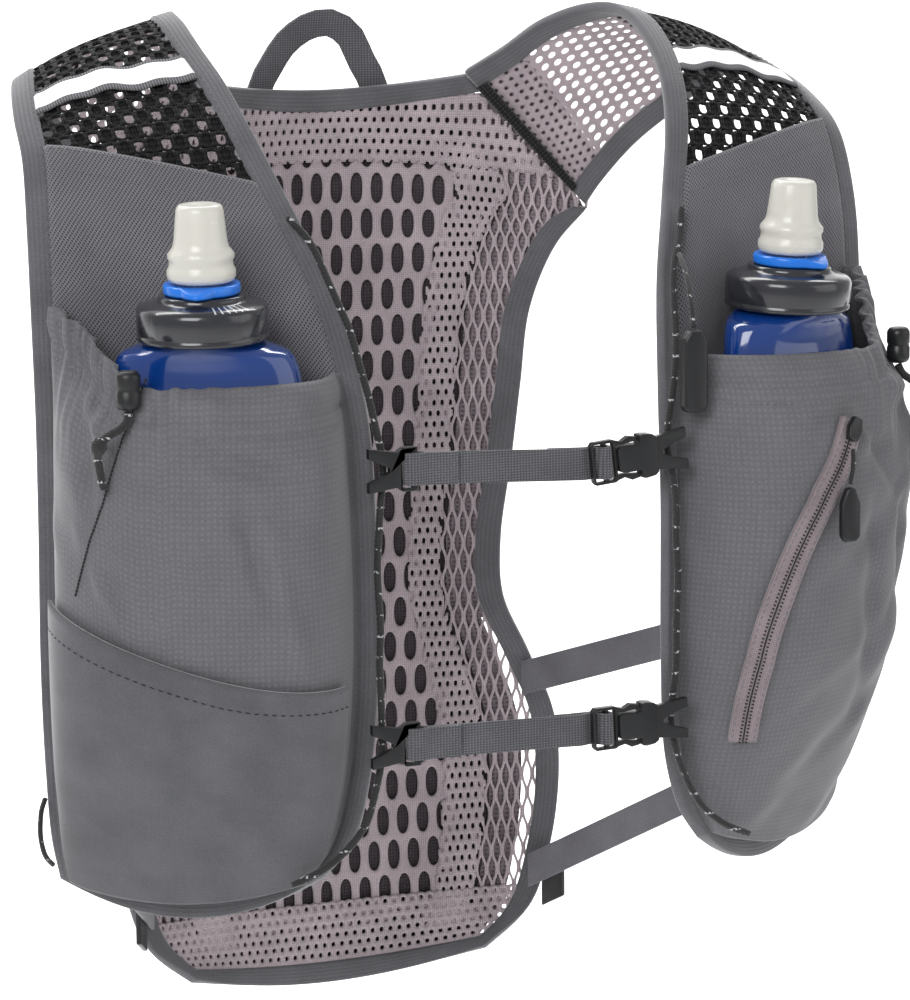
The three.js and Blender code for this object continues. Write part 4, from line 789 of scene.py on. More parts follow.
def banded_material(name, edge, middle, low, high, rib):
    """A tape with a plain bright middle between two ribbed edges, low to high in mm along its width."""
    material, tree, shader = new_material(name)
    flat = add(tree, "ShaderNodeUVMap", uv_map=FLAT).outputs[0]
    part = add(tree, "ShaderNodeSeparateXYZ", {"Vector": flat}).outputs["Y"]
    after = add(tree, "ShaderNodeMath", {0: part, 1: low * MM}, operation="GREATER_THAN").outputs[0]
    before = add(tree, "ShaderNodeMath", {0: part, 1: high * MM}, operation="LESS_THAN").outputs[0]
    bright = add(tree, "ShaderNodeMath", {0: after, 1: before}, operation="MULTIPLY").outputs[0]
    ribs = add(tree, "ShaderNodeTexWave", {"Vector": flat, "Scale": wave_scale(rib)},
               bands_direction="X").outputs["Fac"]
    grey = add(tree, "ShaderNodeMix", {"Factor": ribs, "A": srgb(0x38383b), "B": srgb(edge)},
               data_type="RGBA")
    tone = add(tree, "ShaderNodeMix", {"Factor": bright, "A": grey.outputs["Result"], "B": srgb(middle)},
               data_type="RGBA")
    smooth = add(tree, "ShaderNodeMapRange", {0: bright, 3: 0.8, 4: 0.35}).outputs[0]
    paint(tree, shader, Base_Color=tone.outputs["Result"], Roughness=smooth)
    return material


# Where the ticks are printed, in mm round the cap and up it
TICK_ROOM = (("X", 92, 106), ("Y", 12.4, 13.9))


def cap_material():
    """Smoke grey plastic with a row of short printed ticks round one part of its top edge."""
    material, tree, shader = new_material("smoke grey cap")
    flat = add(tree, "ShaderNodeUVMap", uv_map=FLAT).outputs[0]
    part = add(tree, "ShaderNodeSeparateXYZ", {"Vector": flat})
    stripes = add(tree, "ShaderNodeTexWave", {"Vector": flat, "Scale": wave_scale(2.2)}, bands_direction="X")
    masks = [add(tree, "ShaderNodeMath", {0: stripes.outputs["Fac"], 1: 0.86},
                 operation="GREATER_THAN").outputs[0]]
    for axis, low, high in TICK_ROOM:
        masks.append(add(tree, "ShaderNodeMath", {0: part.outputs[axis], 1: low * MM},
                         operation="GREATER_THAN").outputs[0])
        masks.append(add(tree, "ShaderNodeMath", {0: part.outputs[axis], 1: high * MM},
                         operation="LESS_THAN").outputs[0])
    mask = masks[0]
    for other in masks[1:]:
        mask = add(tree, "ShaderNodeMath", {0: mask, 1: other}, operation="MULTIPLY").outputs[0]
    tone = add(tree, "ShaderNodeMix", {"Factor": mask, "A": srgb(0x2b2c32), "B": srgb(0xdcdcde)},
               data_type="RGBA")
    paint(tree, shader, Base_Color=tone.outputs["Result"], Roughness=0.22, Transmission_Weight=0.18,
          Coat_Weight=0.4, Coat_Roughness=0.05)
    return material


flecked_cord = cord_material()
bright_tape = banded_material("white reflective tape", 0x77777b, 0xf0f1f3, 1.8, 11.7, 1.1)
smoke_cap = cap_material()
print("finishes ready", len(bpy.data.materials))

# %% [markdown]
# The fine mesh of the sleeves is a knit with small round openings in staggered rows. They are 0.6 mm wide
# on the real cloth and nothing but shade shows through them, so they are drawn as dots of painted shade, each
# with a dent.

# %% Fine mesh
def fine_mesh_material(name, light, dark, across, along, open_share):
    material, tree, shader = new_material(name)
    flat = add(tree, "ShaderNodeUVMap", uv_map=FLAT).outputs[0]
    part = add(tree, "ShaderNodeSeparateXYZ", {"Vector": flat})
    waves = []
    for axis, spacing in (("X", across), ("Y", along)):
        turn = add(tree, "ShaderNodeMath", {0: part.outputs[axis], 1: 2 * math.pi / (spacing * MM)},
                   operation="MULTIPLY").outputs[0]
        waves.append(add(tree, "ShaderNodeMath", {0: turn}, operation="COSINE").outputs[0])
    product = add(tree, "ShaderNodeMath", {0: waves[0], 1: waves[1]}, operation="MULTIPLY").outputs[0]
    hole = add(tree, "ShaderNodeMapRange",
               {0: product, 1: open_share, 2: open_share + 0.35, 3: 0, 4: 1}).outputs[0]
    place = add(tree, "ShaderNodeTexCoord").outputs["Object"]
    slow = add(tree, "ShaderNodeTexNoise", {"Vector": place, "Scale": 45, "Detail": 3}).outputs["Fac"]
    # The openings get the dark colour: painted shade where the cloth behind is seen through them
    tone = add(tree, "ShaderNodeMix", {"Factor": hole, "A": srgb(light), "B": srgb(dark)}, data_type="RGBA")
    value = add(tree, "ShaderNodeMapRange", {0: slow, 1: 0.3, 2: 0.7, 3: 0.9, 4: 1.1}).outputs[0]
    colour = add(tree, "ShaderNodeHueSaturation",
                 {"Value": value, "Color": tone.outputs["Result"]}).outputs[0]
    sunk = add(tree, "ShaderNodeMath", {0: 1.0, 1: hole}, operation="SUBTRACT").outputs[0]
    normal = add(tree, "ShaderNodeBump", {"Strength": 0.6, "Distance": 0.3 * MM, "Height": sunk}).outputs[0]
    paint(tree, shader, Base_Color=colour, Roughness=0.8, Sheen_Weight=0.3, Specular_IOR_Level=0.25,
          Normal=normal)
    return material


# Warp-knitted polyester mesh; its second, dark colour is painted shade in the openings
fine_mesh = fine_mesh_material("grey fine knitted mesh", 0x706f74, 0x2c2b2f, 1.5, 1.9, 0.15)

# %% [markdown]
# The cords come first, since their routes have to agree with the solids. The drawcords, the whistle's
# lanyard and the small loop hang free. The rail cords and the pull's cord are held all along.

# %% Cords
LOCK_DIAMETER = 9
LOCK_LENGTH = 14
DRAWCORD_DIAMETER = 3.2
THIN_CORD_DIAMETER = 2
RAIL_LIFT = 5.3
LOCK_PLACES = {"left": (10.78, 0.84), "right": (10.72, 0.66)}
# Points of each cord as x outwards, y and z in mm from the low end of its lock, then the share at which it
# is that many mm thick, so that the knot swells
DRAWCORDS = {
    "right": ((0, 0, -1), (1, -1, -4), (4, -2, -6.5), (8, -2, -8.5), (11, -1.5, -11), (12, -0.5, -15),
              (11.5, 0.5, -19), (10.5, 1, -24), (9.5, 1.5, -28)),
    "left": ((0, 0, -1), (1, -1.5, -4), (3.5, -4, -6.5), (6.5, -6.5, -9), (8, -8, -13), (8.6, -8.8, -17.5),
             (8, -11, -23), (6.5, -12.5, -30), (5, -13, -38)),
}
KNOT_SWELL = ((0, 0.44, 0.48, 0.54, 0.60, 0.65, 1), (3.2, 3.2, 5.2, 6.8, 5.4, 3.2, 3.0))
# Routes that are held at their ends, as shares of the overall sizes: out, fore and down
LANYARD = (
    (0.4259, 0.8317, 0.2723), (0.4176, 0.8808, 0.2799), (0.4059, 0.9558, 0.2987), (0.3941, 1.0142, 0.3239),
    (0.3882, 1.0517, 0.3506),
)
POLE_LOOP = (
    (0.9976, 0.4517, 0.8962), (1.0118, 0.4767, 0.9088), (1.0176, 0.4892, 0.9371), (1.0059, 0.4767, 0.9623),
    (0.9824, 0.4433, 0.978),
)


def lock_seat(side):
    return on_pocket(*LOCK_PLACES[side], POCKET_WALL + LOCK_DIAMETER / 2 + 1.8 * LAYER_GAP)


def held_route(shares):
    out, fore, down = np.array(shares).T
    return np.stack([out * HALF_WIDTH, -fore * FRONT_REACH - RAIL_LIFT, -down * FRONT_DROP], -1)


def free_cord(path):
    path = np.asarray(path) * MM


whistle = settle(finished("whistle", "whistle_body", acetal, bevel=1.6), "fitting", "whistle")
for side, sign in (("left", 1), ("right", -1)):
    start = lock_seat(side) - np.array([0, 0, LOCK_LENGTH / 2])
    piece, path = round_cord(f"elastic_drawcord_{side}", start + np.array(DRAWCORDS[side]), DRAWCORD_DIAMETER,
                             flecked_cord, sign=sign, radii=KNOT_SWELL)
    settle(piece, "cord", f"drawcord_{side}", f"drawcord_knot_{side}")
    free_cord(path)
    settle(finished(f"rail_cord_{side}", f"rail_{side}", flecked_cord, smooth=2), "cord", f"rail_cord_{side}")
piece, path = round_cord("lanyard", held_route(LANYARD), THIN_CORD_DIAMETER, flecked_cord)
settle(piece, "cord", "whistle_lanyard")
free_cord(path)
piece, path = round_cord("small_loop", held_route(POLE_LOOP), THIN_CORD_DIAMETER, flecked_cord, sign=-1)
settle(piece, "cord", "pole_loop")
free_cord(path)
settle(finished("pull_cord", "pull_loop", flecked_cord, smooth=2), "cord", "pull_cord")

# %% [markdown]
# Creases and slack are lifts added to a cloth's own surface. A fold is a soft ridge along a line, given by
# its two ends in the cloth's flat coordinates. The small unevenness is a sum of a few seeded waves.

# %% Folds and unevenness
def folds(flat, rows):
    """The folds' height at each point. A row is across, along, to_across, to_along, width and height."""
    lift = np.zeros(flat.shape[:-1])
    for across, along, to_across, to_along, width, height in rows:
        start, end = np.array([across, along]), np.array([to_across, to_along])
        run = end - start
        share = np.clip(((flat - start) @ run) / (run @ run), 0, 1)
        away = np.linalg.norm(flat - start - share[..., None] * run, axis=-1)
        taper = 0.35 + 0.65 * np.sin(np.pi * np.clip(share, 0.02, 0.98))
        lift += height * taper * np.exp(-(away / width) ** 2)
    return lift


def crumple(flat, size, height, seed):
    """Smooth unevenness about size mm across, up to height mm high."""
    draw = np.random.default_rng(seed)
    lift = np.zeros(flat.shape[:-1])
    for wave in range(7):
        angle, phase = draw.uniform(0, 2 * np.pi, 2)
        length = size * draw.uniform(0.7, 1.6)
        turn = (flat @ np.array([np.cos(angle), np.sin(angle)])) * 2 * np.pi / length
        lift += np.sin(turn + phase + 0.8 * np.sin(turn * 0.6 + phase * 2))
    return lift * height / 7


def round_shares(count):
    return (1 - np.cos(np.linspace(0, np.pi, count))) / 2


def sewn(surface, rise):
    """The surface inside the bindings, and the panel itself outside them, where the cloth is sewn in."""
    def read(station, share, lift):
        station, share, lift = np.broadcast_arrays(*(np.asarray(v, float) for v in (station, share, lift)))
        under = (share < 0) | (share > 1) | (station > PANEL_END)
        held = on_panel(station, inside_bindings(station, share), lift * 0.3 + rise)
        return np.where(under[..., None], held, surface(station, share, lift))
    return read


def sewn_shares(shares):
    return [-0.03, *shares, 1.03]


def cloth_wall(name, surface, top, end, shares, rows, lift, thickness, material, sign, relief=None):
    """A wall on a surface from a top line down to one last station, with a relief added to its lift."""
    share = np.asarray(shares)[None, :]
    part = np.linspace(0, 1, rows)[:, None]
    station = top(share) + (end - top(share)) * part
    flat = grid_lengths(surface(station, share, lift))
    extra = np.zeros(flat.shape[:-1]) if relief is None else relief(flat, part, share)
    inner = surface(station, share, lift + extra)
    outer = surface(station, share, lift + extra + thickness)
    return wall(name, inner, outer, material, sign, flat)


# %% [markdown]
# The sleeve is a panel of fine mesh behind the flask, hemmed at its top. It is slack, so it shows soft
# upright folds beside the flask.

# %% Front cloths and mesh sleeves
SLEEVE_TOP_NECK = 8.6
SLEEVE_TOP_ARM = 7.85
SLEEVE_LIFT = PANEL_WALL + LAYER_GAP
NET_END = 8.9
SLEEVE_FOLDS = [
    (-44, 16, -40, 75, 5, 1.8), (-30, 34, -33, 80, 6, 1.2), (34, 18, 42, 70, 5, 1.8),
    (48, 12, 52, 62, 4, 1.6), (22, 22, 28, 60, 5, 1.0), (-52, 30, -47, 70, 4, 1.2),
]


def sleeve_top(share):
    return SLEEVE_TOP_NECK + (SLEEVE_TOP_ARM - SLEEVE_TOP_NECK) * share


def sleeve(side, sign):
    def relief(flat, part, share):
        loose = np.sin(np.pi * np.clip(part * 1.1, 0, 1)) * np.sin(np.pi * np.clip(share, 0, 1)) ** 0.5
        return loose * (0.4 + 1.7 * folds(flat, SLEEVE_FOLDS) + crumple(flat, 34, 1.2, 3))
    return cloth_wall(f"sleeve_{side}", sewn(inside_panel, 1.5), sleeve_top, PANEL_END + 0.06,
                      sewn_shares(np.linspace(0, 1, 70)), 110,
                      SLEEVE_LIFT, SLEEVE_WALL, fine_mesh, sign, relief)


def front_cloth(side, sign):
    return cloth_wall(f"front_cloth_{side}", inside_panel, lambda share: NET_END + 0.03 + 0 * share,
                      PANEL_END + 0.1,
                      np.linspace(-0.05, 1.05, 26), 40, 0.1, PANEL_WALL - 0.2, fine_mesh, sign)


for make, node in ((sleeve, "mesh_sleeve"), (front_cloth, "front_panel")):
    for piece, side in zip(pair(make), ("left", "right")):
        as_sheet(settle(piece, "panel_mesh", f"{node}_{side}"))

# %% [markdown]
# The pockets are thin ripstop, so they crease in long shallow folds from where the flask pulls them, and
# their hems gather where the drawcord runs.

# %% Flask pockets
POCKET_FOLDS = {
    "left": [
        (-42, 26, -5, 14, 4, 1.8), (-52, 60, -34, 88, 4, 1.6), (14, 16, 46, 34, 4, 2.2),
        (-10, 18, 22, 60, 5, -2.0), (-20, 40, 12, 30, 5, 1.6), (24, 60, 44, 120, 5, -2.2),
        (2, 60, 20, 150, 6, -1.8), (40, 40, 56, 90, 4, 2.0),
    ],
    "right": [
        (10, 34, 46, 22, 4, 1.8), (-44, 34, -6, 24, 4, -1.8), (44, 70, 16, 100, 5, 1.8),
        (-30, 60, -46, 120, 5, 2.4), (46, 30, 34, 64, 4, -1.8), (-10, 96, 34, 118, 5, 1.8),
        (-20, 40, -34, 86, 4, -2.2), (30, 120, 6, 150, 5, 1.8),
    ],
}
GATHERS = {"left": (0.30, 2.2), "right": (0.20, 1.9)}
CHANNEL_DEPTH = 12.5
# How far the pocket's cloth runs on past the end of the panel's face, in stations
POCKET_UNDER = 0.07
FOLD_RISE = 1.7
# The zip on the left pocket and the seam on the right one hold the cloth flat along these lines, given as
# stations and shares
ZIP_PATH = np.array([
    (11.3, 0.385), (11.65, 0.32), (12.0, 0.23), (12.3, 0.165),
    (12.6, 0.12), (12.9, 0.09), (13.3, 0.075), (13.8, 0.07),
])
SEAM_PATH = np.array([(10.60, 0.63), (11.20, 0.72), (11.85, 0.80), (12.35, 0.88)])
HELD_LINES = {"left": ZIP_PATH, "right": SEAM_PATH}
HELD_WIDTH = {"left": 0.10, "right": 0.05}
HEM_WAVE = 0.022
STRETCH_WALL = 1.5
STRETCH_TOP_NECK = 12.95
STRETCH_TOP_ARM = 12.42
STRETCH_LIFT = POCKET_WALL + 1.5 * LAYER_GAP


def stretch_top(share):
    return STRETCH_TOP_NECK + (STRETCH_TOP_ARM - STRETCH_TOP_NECK) * np.clip(share, 0, 1) ** 1.6


def pocket(side, sign):
    start, height = GATHERS[side]

    def relief(flat, part, share):
        down = flat[..., 1]
        near_hem = np.exp(-(down / 24) ** 2)
        gathers = np.sin(flat[..., 0] * 0.9 + 1.5 * np.sin(flat[..., 0] * 0.23)) * smoothstep(share, start, 1)
        channel = 0.9 * np.exp(-((down - CHANNEL_DEPTH / 2) / 4) ** 2)
        hem = channel - 0.7 * np.exp(-((down - CHANNEL_DEPTH) / 1.1) ** 2)
        held = smoothstep(part, 0, 0.02) * (1 - smoothstep(part, 0.93, 1)) * smoothstep(share, 0, 0.04) * (
            1 - smoothstep(share, 0.96, 1))
        station = hem_line(share) + (PANEL_END + POCKET_UNDER - hem_line(share)) * part
        beside = (share - np.interp(station, *HELD_LINES[side].T)) / HELD_WIDTH[side]
        loose = 1 - 0.95 * np.exp(-beside ** 2)
        if side == "right":
            loose = loose * (1 - 0.85 * smoothstep(station - stretch_top(share), -0.35, 0.05))
        creases = FOLD_RISE * folds(flat, POCKET_FOLDS[side]) + crumple(flat, 30, 1.9, 11)
        return loose * (held * creases + gathers * near_hem * height) + hem

    def top(share):
        gathered = np.sin(share * 52) + 0.7 * np.sin(share * 83 + 1)
        return hem_line(share) - HEM_WAVE * gathered * smoothstep(share, start, 1)

    return cloth_wall(f"pocket_{side}", sewn(on_pocket, 2.6), top, PANEL_END + POCKET_UNDER,
                      sewn_shares(round_shares(110)), 130, 0, POCKET_WALL, ripstop, sign, relief)


for piece, side in zip(pair(pocket), ("left", "right")):
    as_sheet(settle(piece, "ripstop", f"flask_pocket_{side}"))

stretch_front = cloth_wall("stretch_front", on_pocket, stretch_top, PANEL_END - 0.1,
                           0.02 + 0.96 * round_shares(90), 70,
                           STRETCH_LIFT, STRETCH_WALL, stretch_weave, -1,
                           lambda flat, part, share: crumple(flat, 40, 0.7, 5) * np.sin(np.pi * part))
as_sheet(settle(stretch_front, "stretch", "stretch_pocket"))
print("pockets made")

# %% [markdown]
# The nets have real holes. A Geometry Nodes tree lays out one cell, a six-sided frame round an opening,
# on staggered rows in a flat plane. It then reads, for each corner, where that flat place lies on the
# curved cloth. Bricks and diamonds come from the same cell: slant pushes its upper and lower corners out.

# %% Net tree
NET_INPUTS = ("Pitch Across", "Pitch Along", "Slant", "Hole Width", "Hole Length", "Shoulder Across",
              "Shoulder Along", "Columns", "Rows", "Shift Across", "Shift Along", "Row Shift")
# The sums of the tree, in order: a name, an operation, and numbers or the names of earlier sums or inputs
NET_SUMS = (
    ("angle", "MULTIPLY", "x", math.pi / 4),
    ("rim", "ADD", "y", 0.5),
    ("cosine", "COSINE", "angle"),
    ("wide cosine", "MULTIPLY", "cosine", 1.5),
    ("side capped", "MINIMUM", "wide cosine", 1.0),
    ("side", "MAXIMUM", "side capped", -1.0),
    ("sine", "SINE", "angle"),
    ("wide sine", "MULTIPLY", "sine", 1.5),
    ("rise capped", "MINIMUM", "wide sine", 1.0),
    ("rise", "MAXIMUM", "rise capped", -1.0),
    ("four angles", "MULTIPLY", "angle", 4.0),
    ("corner", "COSINE", "four angles"),
    ("off corner", "SUBTRACT", 1.0, "corner"),
    ("diagonal", "MULTIPLY", "off corner", 0.5),
    ("half across", "MULTIPLY", "Pitch Across", 0.5),
    ("outer x", "MULTIPLY", "side", "half across"),
    ("half along", "MULTIPLY", "Pitch Along", 0.5),
    ("slanted", "MULTIPLY_ADD", "Slant", "corner", "half along"),
    ("outer y", "MULTIPLY", "rise", "slanted"),
    ("cut x", "SUBTRACT", 1.0, "Shoulder Across"),
    ("cut y", "SUBTRACT", 1.0, "Shoulder Along"),
    ("lost x", "MULTIPLY", "diagonal", "cut x"),
    ("lost y", "MULTIPLY", "diagonal", "cut y"),
    ("kept x", "SUBTRACT", 1.0, "lost x"),
    ("kept y", "SUBTRACT", 1.0, "lost y"),
    ("half width", "MULTIPLY", "Hole Width", 0.5),
    ("half length", "MULTIPLY", "Hole Length", 0.5),
    ("reach x", "MULTIPLY", "side", "kept x"),
    ("reach y", "MULTIPLY", "rise", "kept y"),
    ("inner x", "MULTIPLY", "reach x", "half width"),
    ("inner y", "MULTIPLY", "reach y", "half length"),
    ("web x", "SUBTRACT", "outer x", "inner x"),
    ("web y", "SUBTRACT", "outer y", "inner y"),
    ("cell x", "MULTIPLY_ADD", "rim", "web x", "inner x"),
    ("cell y", "MULTIPLY_ADD", "rim", "web y", "inner y"),
    ("steps across", "SUBTRACT", "Columns", 1.0),
    ("span across", "MULTIPLY", "steps across", "Pitch Across"),
    ("steps along", "SUBTRACT", "Rows", 1.0),
    ("span along", "MULTIPLY", "steps along", "Pitch Along"),
    ("half span", "MULTIPLY", "span along", 0.5),
    ("from top", "ADD", "y", "half span"),
    ("row place", "DIVIDE", "from top", "Pitch Along"),
    ("row", "ROUND", "row place"),
    ("odd", "MODULO", "row", 2.0),
    ("shifted", "MULTIPLY", "odd", "Row Shift"),
    ("aside", "MULTIPLY", "shifted", "Pitch Across"),
    ("moved", "ADD", "aside", "Shift Across"),
)


def net_tree():
    tree = bpy.data.node_groups.new("net on a surface", "GeometryNodeTree")
    tree.interface.new_socket(name="Cloth", in_out="INPUT", socket_type="NodeSocketGeometry")
    for name in NET_INPUTS:
        kind = "NodeSocketInt" if name in ("Columns", "Rows") else "NodeSocketFloat"
        tree.interface.new_socket(name=name, in_out="INPUT", socket_type=kind)
    tree.interface.new_socket(name="Material", in_out="INPUT", socket_type="NodeSocketMaterial")
    tree.interface.new_socket(name="Net", in_out="OUTPUT", socket_type="NodeSocketGeometry")
    given = add(tree, "NodeGroupInput").outputs
    strip = add(tree, "GeometryNodeMeshGrid",
                {"Size X": 8.0, "Size Y": 1.0, "Vertices X": 9, "Vertices Y": 2})
    spot = add(tree, "ShaderNodeSeparateXYZ", {0: add(tree, "GeometryNodeInputPosition").outputs[0]}).outputs
    sums = {"x": spot[0], "y": spot[1], **{name: given[name] for name in NET_INPUTS}}
    for name, operation, *values in NET_SUMS:
        inputs = {at: sums[value] if isinstance(value, str) else value for at, value in enumerate(values)}
        sums[name] = add(tree, "ShaderNodeMath", inputs, operation=operation).outputs[0]
    cell = add(tree, "GeometryNodeSetPosition", {"Geometry": strip.outputs[0], "Position": add(
        tree, "ShaderNodeCombineXYZ", {0: sums["cell x"], 1: sums["cell y"]}).outputs[0]}).outputs[0]
    cell = add(tree, "GeometryNodeMergeByDistance", {"Geometry": cell, "Distance": 0.00001}).outputs[0]

    points = add(tree, "GeometryNodeMeshGrid", {
        "Size X": sums["span across"], "Size Y": sums["span along"], "Vertices X": given["Columns"],
        "Vertices Y": given["Rows"]}).outputs[0]
    moved = add(tree, "ShaderNodeCombineXYZ", {0: sums["moved"], 1: given["Shift Along"]}).outputs[0]
    points = add(tree, "GeometryNodeSetPosition", {"Geometry": points, "Offset": moved}).outputs[0]
    net = add(tree, "GeometryNodeInstanceOnPoints", {"Points": points, "Instance": cell}).outputs[0]
    net = add(tree, "GeometryNodeRealizeInstances", {0: net}).outputs[0]
    net = add(tree, "GeometryNodeMergeByDistance", {"Geometry": net, "Distance": 0.00002}).outputs[0]

    flat = add(tree, "GeometryNodeInputPosition").outputs[0]
    net = add(tree, "GeometryNodeStoreNamedAttribute", {"Geometry": net, "Name": FLAT, "Value": flat},
              data_type="FLOAT2", domain="CORNER").outputs[0]
    cloth_flat = add(tree, "GeometryNodeInputNamedAttribute", {"Name": FLAT},
                     data_type="FLOAT_VECTOR").outputs[0]
    read = add(tree, "GeometryNodeSampleUVSurface", {
        "Mesh": given["Cloth"], 1: add(tree, "GeometryNodeInputPosition").outputs[0],
        "Source UV Map": cloth_flat, "Sample UV": flat}, data_type="FLOAT_VECTOR")
    # Both are taken before anything moves, so that they speak of the same flat place
    held = add(tree, "GeometryNodeStoreNamedAttribute",
               {"Geometry": net, "Name": "place", "Value": read.outputs[0]},
               data_type="FLOAT_VECTOR", domain="POINT").outputs[0]
    missed = add(tree, "FunctionNodeBooleanMath", {0: read.outputs["Is Valid"]}, operation="NOT").outputs[0]
    held = add(tree, "GeometryNodeDeleteGeometry", {"Geometry": held, "Selection": missed},
               domain="POINT").outputs[0]
    place = add(tree, "GeometryNodeInputNamedAttribute", {"Name": "place"},
                data_type="FLOAT_VECTOR").outputs[0]
    held = add(tree, "GeometryNodeSetPosition", {"Geometry": held, "Position": place}).outputs[0]
    held = add(tree, "GeometryNodeSetShadeSmooth", {"Geometry": held}).outputs[0]
    held = add(tree, "GeometryNodeRealizeInstances", {0: held}).outputs[0]
    held = add(tree, "GeometryNodeSetMaterial", {"Geometry": held, "Material": given["Material"]}).outputs[0]
    add(tree, "NodeGroupOutput", {0: held})
    return tree


NET = net_tree()


def socket_id(tree, name):
    items = tree.interface.items_tree
    return next(item.identifier for item in items if item.name == name and item.in_out == "INPUT")


def grown(obj, tree, values):
    """Puts a tree on an object as a modifier and sets its inputs by name."""
    modifier = obj.modifiers.new("grow", "NODES")
    modifier.node_group = tree
    for name, value in values.items():
        modifier[socket_id(tree, name)] = value


def net_on(name, points, flat, cell, material, thickness, smooth=1, row_shift=0.5):
    """A net over a grid of points. cell is the pitch across and along, the slant and the hole's width and
    length in mm, then the shares of the hole's size that its corners keep."""
    rows, columns = points.shape[:2]
    carrier = new_object(name + "_carrier", points.reshape(-1, 3), grid_faces(rows, columns), material,
                         flat.reshape(-1, 2))
    low, high = flat.reshape(-1, 2).min(0), flat.reshape(-1, 2).max(0)
    across, along, slant, width, length, shoulder_across, shoulder_along = cell
    middle = (low + high) / 2
    grown(carrier, NET, {
        "Pitch Across": across * MM, "Pitch Along": along * MM, "Slant": slant * MM, "Hole Width": width * MM,
        "Hole Length": length * MM, "Shoulder Across": shoulder_across, "Shoulder Along": shoulder_along,
        "Columns": 2 * int((high[0] - low[0]) / across / 2) + 3,
        "Rows": 2 * int((high[1] - low[1]) / along / 2) + 3,
        "Shift Across": middle[0] * MM, "Shift Along": middle[1] * MM, "Row Shift": row_shift,
        "Material": material,
    })
    solid = carrier.modifiers.new("wall", "SOLIDIFY")
    solid.thickness = thickness * MM
    solid.offset = -1
    if smooth:
        rounding = carrier.modifiers.new("rounding", "SUBSURF")
        rounding.levels = rounding.render_levels = smooth
    return made_plain(carrier, name)


# %% [markdown]
# The shoulder strap is a double black net: the front layer has a straight grid of openings, and the layer
# behind is open at every second one only. Near the yoke seam a pink grey lining net is seen from inside.

# %% Shoulder nets
# Columns: part, start, end, lift, thickness, cell, row_shift and smooth
SHOULDER_LAYERS = (
    ("front", 3.4, NET_END, 3.0, 0.9, (5.1, 6.5, 0.5, 3.5, 5.3, 0.85, 0.75), 0.0, 1),
    ("behind", 3.4, NET_END, 1.9, 0.5, (10.2, 6.5, 0.2, 4.8, 6.0, 0.9, 0.85), 0.5, 0),
)
LINING_LAYERS = (
    ("holes", 0.03, 1.35, 1.7, 1.0, (3.6, 4.2, 0.3, 1.5, 1.9, 0.75, 0.75), 0.5, 1),
    ("ovals", 1.25, 5.2, 1.2, 0.9, (4.4, 6.0, 0.6, 2.4, 4.0, 0.7, 0.7), 0.5, 1),
)
SHOULDER_UNDER = 6


def shoulder_layers(name, layers, material):
    pieces = []
    for part, start, end, lift, thickness, cell, row_shift, smooth in layers:
        stations = np.linspace(start, end, 80)[:, None]
        border = (BINDING_WIDTH - SHOULDER_UNDER) / panel_width(stations)
        points = on_panel(stations, border + (1 - 2 * border) * np.linspace(0, 1, 50)[None, :], lift)
        pieces.append(net_on(f"{name}_{part}", points, grid_lengths(points), cell, material, thickness,
                             smooth, row_shift=row_shift))
    return joined(pieces, name + "_left")


def joined(pieces, name):
    """Several mesh objects as one."""
    with bpy.context.temp_override(active_object=pieces[0], selected_editable_objects=pieces):
        bpy.ops.object.join()
    pieces[0].name = pieces[0].data.name = name
    return pieces[0]


for name, layers, material, slot in (("shoulder_net", SHOULDER_LAYERS, strap_net, "strap_net"),
                                     ("shoulder_lining", LINING_LAYERS, back_net, "back_net")):
    left_piece = shoulder_layers(name, layers, material)
    for piece, side in ((left_piece, "left"), (mirrored_piece(left_piece, name + "_right"), "right")):
        settle(piece, slot, *([f"shoulder_strap_{side}"] if slot == "strap_net" else []))
        as_sheet(piece)
        print(piece.name, len(piece.data.polygons), "faces")

# A pale knit closes the lining's small holes near the yoke seam: start, end, lift and thickness
LINING_BACKING = (0.03, 1.3, 2.3, 0.4)


def lining_backing(side, sign):
    start, end, lift, thickness = LINING_BACKING
    return cloth_wall(f"lining_backing_{side}", inside_panel, lambda share: start + 0 * share, end,
                      np.linspace(-0.04, 1.04, 40), 40, lift, thickness, pale_net_cloth, sign)


for piece in pair(lining_backing):
    as_sheet(settle(piece, "back_net"))

# %% [markdown]
# The back is knitted in zones, all in one cloth: long slots in the middle, a band of small holes beside
# them, then a lattice of tall diamonds that thins to leaning strands at the edge. Each zone is a net with
# its own cell, cut a little wide so that it tucks behind the next one.

# %% Back net
# Columns: name, from_row, to_row, low, high, cell, smooth and lift. The spans are shares of the half width.
BACK_ZONES = (
    ("slots", 1.1, 13.3, 0.00, 0.62, (8.8, 15.4, 0.9, 5.3, 14.4, 0.84, 0.72), 1, 0.9),
    ("eyelets", 1.1, 13.3, 0.53, 0.73, (3.4, 4.6, 0.3, 1.5, 2.8, 0.75, 0.70), 0, 0.3),
    ("lattice", 1.1, 13.4, 0.68, 1.00, (4.6, 8.2, 2.6, 2.9, 11.6, 0.80, 0.42), 0, 0.7),
    ("top", 0.15, 1.6, 0.00, 1.00, (3.8, 4.4, 0.3, 1.7, 2.3, 0.80, 0.75), 0, 0.2),
    ("bottom", 12.6, 13.8, 0.00, 1.00, (4.0, 4.2, 0.3, 1.9, 2.3, 0.75, 0.70), 0, 0.2),
)
BACK_WALL = 1.6
# How far the net runs on under the binding
BACK_TUCK = 6.5


